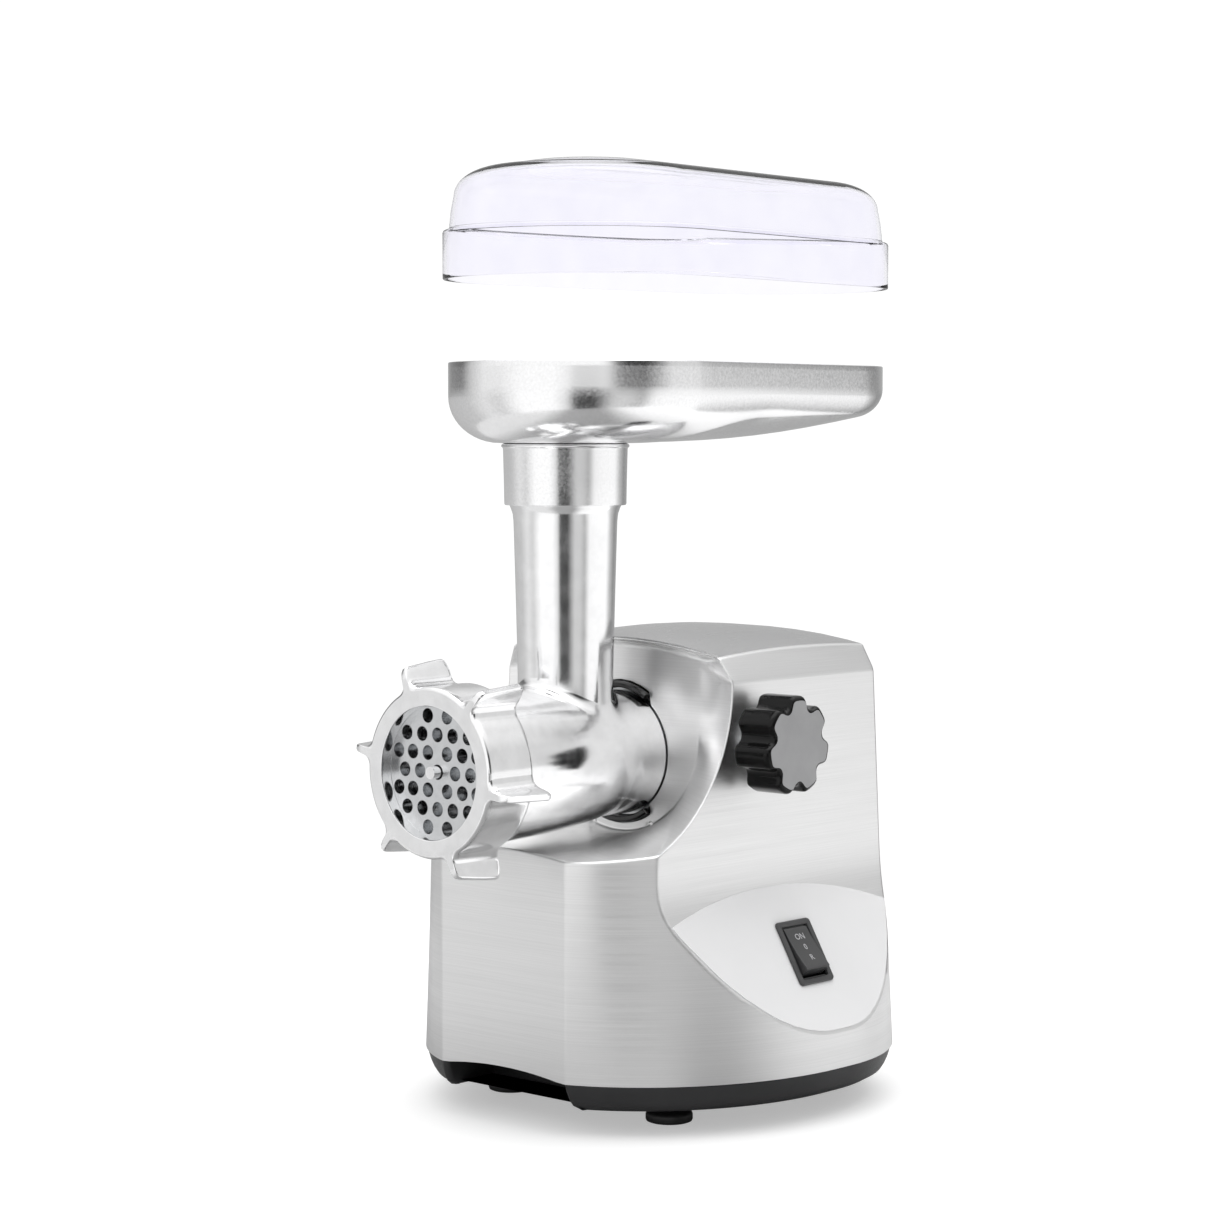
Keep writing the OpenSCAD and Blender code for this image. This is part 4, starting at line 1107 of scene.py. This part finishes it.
def make_collar():
    z0, z1 = low("tray_collar")[2], FLOOR_Z
    profile = [(28.7, z0 + 0.6), (29.1, z0), (29.9, z0), (30.3, z0 + 0.6), (30.5, z0 + 12),
               (30.9, z1 - 3.2), (31.0, z1 - 2.4), (31.7, z1 - 1.9), (31.8, z1 - 1.2),
               (31.4, z1 - 0.5), (30.6, z1 - 0.1), (21.4, z1 + 0.0), (21.3, z1 - 0.8),
               (28.6, z1 - 0.9), (28.6, z0 + 1.2)]
    rows = spin_z(profile, 96, (0, TUBE_Y))
    piece_from("tray_collar_ring", Surface().add_rows(rows + rows[:1]), "tray_unit",
               "spun_aluminium", ["tray_collar"], 40)


def make_lid():
    """Clear domed lid: a skirt that slips over the tray's rim, a step and a domed top."""
    z0, top = low("lid")[2], high("lid")[2]
    step_z, grow, wall, gap = z0 + 24.3, 2.6, 1.9, 0.7
    dome, dome_z = grow - 5.6, step_z + 17
    crown = top - dome_z
    outer = [(grow, z0 + 0.5), (grow, z0 + 3), (grow, step_z - 1.4), (grow - 0.4, step_z - 0.5),
             (grow - 1.2, step_z - 0.1), (grow - 2.3, step_z + 0.1), (grow - 3.0, step_z + 0.5),
             (grow - 3.3, step_z + 1.4), (grow - 4.2, step_z + 10), (dome, dome_z)]
    outer += [(dome - 24 * (1 - cos(a)), dome_z + crown * 0.82 * sin(a))
              for a in [t * pi / 2 for t in steps(12)[1:]]]
    outer += [(dome - 24 - 26 * t, dome_z + crown * (0.82 + 0.18 * sin(t * pi / 2)))
              for t in steps(5)[1:]]
    inner = []
    for k, (g, z) in enumerate(outer):
        if k < 4:
            inner.append((gap, z))
        elif k < 9:
            inner.append((min(g - wall, gap), z - wall if k < 8 else z - 0.6))
        else:
            lean = clamp((k - 8) / 10)
            inner.append((g - wall * (1 - lean * 0.9), z - wall * lean))
    lip = [(gap + 0.35, z0), (grow - 0.35, z0)]
    rows = [[(x, y, z) for x, y in pan(g)] for g, z in inner[::-1] + lip + outer]
    piece_from("lid_dome", prism(rows), "lid_unit", "clear_plastic", ["lid"], 60,
               weighted=False)


# ------------------------------------------------------------------ knob and switch
KNOB_R, KNOB_PHASE = 24.5, 0.25


def knob_outline(r, lobes=7, per=24):
    """Front view of the knob: a round grip with a half-round hollow between broad lobes."""
    hollow_r, hollow_c = r * 0.215, r * 1.02
    half = pi / lobes
    count = lobes * per
    radii = []
    for k in range(count):
        off = (2 * pi * k / count + half) % (2 * half) - half
        inside = hollow_r**2 - (hollow_c * sin(off)) ** 2
        radii.append(min(r, hollow_c * cos(off) - sqrt(inside)) if inside > 0 else r)
    for _ in range(3):
        radii = [(radii[k - 1] + 2 * radii[k] + radii[(k + 1) % count]) / 4
                 for k in range(count)]
    turns = [2 * pi * (k + per * KNOB_PHASE) / count for k in range(count)]
    return [(r * cos(a), r * sin(a)) for r, a in zip(radii, turns)]


def make_knob():
    """Clamp knob: lobed grip with a rounded front edge and a satin end face."""
    x0, x1 = low("knob")[0], high("knob")[0]
    outline = knob_outline(KNOB_R)

    def level(x, inset):
        return [(x, KNOB_Y + y * (1 - inset / hypot(y, z)), KNOB_Z + z * (1 - inset / hypot(y, z)))
                for y, z in outline]

    rows = [level(x0 + 1.2, 7.5), level(x0 + 0.2, 6.5), level(x0, 1.6), level(x0 + 0.5, 0.5),
            level(x0 + 1.6, 0.0), level(x1 - 3.4, 0.0), level(x1 - 2.2, 0.15),
            level(x1 - 1.2, 0.6), level(x1 - 0.5, 1.4), level(x1 - 0.12, 2.4)]
    face = [rows[-1], level(x1, 3.4), level(x1, 8), level(x1 - 0.05, 16)]
    surface = Surface().add_rows(rows).add_rows(face, kind=1).add_cap(face[-1], kind=1)
    surface.add_cap(list(reversed(rows[0])))
    piece_from("clamp_knob", surface, "knob_unit", "knob_black", ["knob"], 40,
               materials=[MATERIALS["knob_black"], KNOB_FACE])


def make_bezel():
    """Switch bezel: a flat frame with a soft outer edge and a chamfered opening."""
    outer = [(16.4, 12.4, 1.6, 0.5), (17, 13, 2.0, 0.7), (17, 13, 2.0, 1.5),
             (16.6, 12.6, 1.8, 2.1), (16.0, 12.0, 1.6, 2.25)]
    inner = [(14.6, 10.6, 0.8, 2.25), (14.0, 10.0, 0.6, 1.7), (13.9, 9.9, 0.6, -4.0),
             (14.1, 10.1, 0.6, -4.0)]
    piece_from("switch_bezel", Surface().add_rows(face_rows(outer + inner + outer[:1])),
               "root", "black_gloss", ["switch_frame"], 40, materials=[BEZEL])


ROCKER_TURN = radians(10)
ROCKER_HALF_V = 8.9
PIN_W = -3.0
MARKS = (("ON", 6.6, 4.6), ("0", 0.6, 4.4), ("R", -5.6, 4.4))  # text, place along, size


def rocked(u, v, w):
    """Rocks a point of the cap round the pin, so that its foot stands proud."""
    c, s = cos(ROCKER_TURN), sin(ROCKER_TURN)
    w -= PIN_W
    return on_face(u * c + w * s, v, PIN_W + w * c - u * s)


def cap_top(u):
    """Height of the cap's slightly hollow top."""
    return 3.3 + 0.7 * (u / 12.0) ** 2


def make_rocker():
    """Rocker with a slightly hollow top, turned to its pressed end, and its printed marks."""
    profile = [(-11.2, -6.0), (-11.9, -3.0), (-12.1, cap_top(12.1) - 0.8),
               (-11.9, cap_top(12) - 0.25)]
    profile += [(u, cap_top(u)) for u in (-11.4, -9, -6, -3, 0, 3, 6, 9, 11.4)]
    profile += [(11.9, cap_top(12) - 0.25), (12.1, cap_top(12.1) - 0.8), (11.9, -3.0),
                (11.2, -6.0)]
    half = ROCKER_HALF_V
    rows = [[rocked(u * (1 - shrink / 12), v, w - shrink) for u, w in profile]
            for v, shrink in ((-half, 0.45), (-half + 0.15, 0.15), (-half + 0.5, 0.0),
                              (half - 0.5, 0.0), (half - 0.15, 0.15), (half, 0.45))]
    piece_from("rocker_cap", prism(rows), "rocker_unit", "rocker_black", ["rocker"], 34)
    for text, u, size in MARKS:
        make_mark(text, u, size)


def make_mark(text, u, size):
    """A generic switch mark, printed as a thin raised layer."""
    curve = bpy.data.curves.new("mark", "FONT")
    curve.body = text
    curve.align_x = "CENTER"
    curve.align_y = "CENTER"
    curve.size = size
    curve.extrude = 0.05
    curve.resolution_u = 4
    source = link("mark", curve)
    graph = bpy.context.evaluated_depsgraph_get()
    mesh = bpy.data.meshes.new_from_object(source.evaluated_get(graph))
    bpy.data.objects.remove(source)
    for vertex in mesh.vertices:
        right, up, out = vertex.co
        vertex.co = at(rocked(u + up, right, cap_top(u + up) + 0.03 + out))
    mesh.materials.clear()
    mesh.materials.append(LEGEND)
    mark = link("switch_mark_" + text, mesh)
    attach(mark, "rocker_unit")


# ------------------------------------------------------------------ carried-over CAD nodes
def dress_cad_nodes():
    for part in frame["record"]["subparts"]:
        node = nodes[part["node"]]
        node.data.materials.clear()
        node.data.materials.append(MATERIALS[part["material_slot"]])
        for polygon in node.data.polygons:
            polygon.material_index = 0


# ------------------------------------------------------------------ studio
VIEW_PLACE = (1.0367, -1.1733, 0.3417)
VIEW_YAW, VIEW_PITCH = 0.7379, 0.0586
VIEW_RIGHT = (cos(VIEW_YAW), sin(VIEW_YAW), 0)
VIEW_BACK = (sin(VIEW_YAW), -cos(VIEW_YAW), 0)
SENSOR, LENS = 36, 90.76
LAMP_PLACE, LAMP_TARGET, LAMP_SIZE, LAMP_POWER = (0.2, 0.1, 2.4), (0, 0, 0.2), 2.6, 34
# Brightness of the studio round the object, by the angle in degrees from straight behind the
# camera, turning to the camera's right: white cards with dark gaps. The low cards stand below
# the camera's height and show in the body and tube; the high ones show in the tray and lid.
LOW_CARDS = [(-180, 0.45), (-150, 0.55), (-116, 0.62), (-95, 0.85), (-78, 0.72), (-58, 1.15),
             (-28, 1.15), (-16, 0.8), (-11, 0.08), (6, 0.06), (12, 0.3), (22, 0.7), (34, 0.7),
             (45, 0.5), (57, 1.1), (107, 1.15), (122, 0.6), (140, 0.3), (180, 0.45)]
HIGH_CARDS = [(-180, 0.55), (-150, 0.25), (-125, 0.14), (-112, 0.6), (-93, 0.95), (-50, 1.1),
              (12, 1.12), (17, 0.9), (24, 0.22), (31, 0.05), (48, 0.05), (56, 0.13), (64, 0.4),
              (72, 0.72), (104, 0.75), (110, 0.3), (127, 0.26), (148, 0.4), (180, 0.55)]
CARD_CHANGE = (-0.012, 0.008)  # heights of sight line between low and high cards
CARD_TOPS = (0.35, 0.75)  # and between high cards and the white overhead
OVERHEAD = (1.2, 1.2, 1.2, 1)
BACKDROP = 1.05
# What metal mirrors of the floor, by the distance in metres to the right of the middle.
FLOOR_CARDS = [(-0.62, 0.62), (-0.3, 0.6), (-0.16, 0.28), (0.08, 0.25), (0.24, 0.75), (0.62, 1.0)]
FLOOR_R = 0.62
FLOOR_GLOW = 0.42


def along(tree, vector, axis):
    """How far a vector reaches along an axis."""
    return maths(tree, "VectorMath", "DOT_PRODUCT", vector, axis).outputs["Value"]


def card_ramp(tree, place, cards, half=180.0):
    """Brightness of the cards along a ramp that runs from -half to half."""
    ramp = add_node(tree, "ValToRGB", Fac=place)
    elements = ramp.color_ramp.elements
    while len(elements) < len(cards):
        elements.new(1.0)
    peak = max(level for _, level in cards)
    for element, (where, level) in zip(elements, cards):
        element.position = (where + half) / (2 * half)
        element.color = (level / peak, level / peak, level / peak, 1)
    return add_node(tree, "VectorMath", {"operation": "SCALE"}, Vector=ramp.outputs["Color"],
                    Scale=peak).outputs["Vector"]


def blend(tree, factor, a, b):
    return add_node(tree, "Mix", {"data_type": "RGBA"}, Factor=factor, A=a,
                    B=b).outputs["Result"]


def make_floor():
    """White floor that metal mirrors as soft bands."""
    mesh = bpy.data.meshes.new("floor")
    rim = [(x, y, 0) for x, y in circle(FLOOR_R, 96)]
    mesh.from_pydata(rim, [], [tuple(range(len(rim)))])
    floor = link("floor", mesh)
    material, tree, shader = principled("floor_white", (0.6, 0.6, 0.6), 0.0, 0.6,
                                        Emission_Color=(1, 1, 1, 1))
    colour = shader.inputs["Base Color"]
    tint(tree, noise(tree, 30.0), (0.6, 0.6, 0.6), (0.61, 0.61, 0.61), colour)
    paper = colour.links[0].from_socket
    across = along(tree, add_node(tree, "TexCoord").outputs["Object"], VIEW_RIGHT)
    cards = card_ramp(tree, between(tree, across, -FLOOR_R, FLOOR_R), FLOOR_CARDS, FLOOR_R)
    mirrored = add_node(tree, "LightPath").outputs["Is Glossy Ray"]
    feed(tree, colour, blend(tree, mirrored, paper, cards))
    spread(tree, mirrored, FLOOR_GLOW, 0.0, shader.inputs["Emission Strength"], 0, 1)
    floor.data.materials.append(material)


def make_camera():
    camera = link("camera", bpy.data.cameras.new("camera"))
    camera.data.sensor_width = SENSOR
    camera.data.lens = LENS
    camera.location = VIEW_PLACE
    camera.rotation_euler = (pi / 2 - VIEW_PITCH, 0, VIEW_YAW)
    bpy.context.scene.camera = camera


def make_world():
    """White to the eye; what metal mirrors and what lights the set is the ring of cards."""
    world = bpy.data.worlds.new("studio")
    bpy.context.scene.world = world
    world.use_nodes = True
    tree = world.node_tree
    tree.nodes.clear()
    sight = add_node(tree, "TexCoord").outputs["Generated"]
    angle = maths(tree, "Math", "ARCTAN2", along(tree, sight, VIEW_RIGHT),
                  along(tree, sight, VIEW_BACK))
    turn = between(tree, angle.outputs[0], -pi, pi)
    height = add_node(tree, "SeparateXYZ", Vector=sight).outputs["Z"]
    cards = blend(tree, between(tree, height, *CARD_CHANGE), card_ramp(tree, turn, LOW_CARDS),
                  card_ramp(tree, turn, HIGH_CARDS))
    colour = blend(tree, between(tree, height, *CARD_TOPS), cards, OVERHEAD)
    studio = add_node(tree, "Background", Color=colour)
    plain = add_node(tree, "Background", Color=(1, 1, 1, 1), Strength=BACKDROP)
    rays = add_node(tree, "LightPath").outputs
    seen = maths(tree, "Math", "MAXIMUM", rays["Is Camera Ray"], rays["Is Transmission Ray"])
    choice = add_node(tree, "MixShader")
    for socket, source in zip(choice.inputs, (seen, studio, plain)):
        feed(tree, socket, source.outputs[0])
    add_node(tree, "OutputWorld", Surface=choice.outputs[0])


def make_lamp():
    """One broad soft light overhead."""
    data = bpy.data.lights.new("overhead", "AREA")
    data.shape = "RECTANGLE"
    data.size = data.size_y = LAMP_SIZE
    data.energy = LAMP_POWER
    lamp = link("overhead", data)
    lamp.location = LAMP_PLACE
    aim = Vector(LAMP_TARGET) - Vector(LAMP_PLACE)
    lamp.rotation_euler = aim.to_track_quat("-Z", "Y").to_euler()


dress_cad_nodes()
make_casing()
make_label()
make_base()
make_feet()
make_head()
make_ring_nut()
make_bayonet()
make_tray()
make_collar()
make_lid()
make_knob()
make_bezel()
make_rocker()
make_floor()
make_camera()
make_world()
make_lamp()
bpy.context.scene.view_settings.view_transform = "Standard"
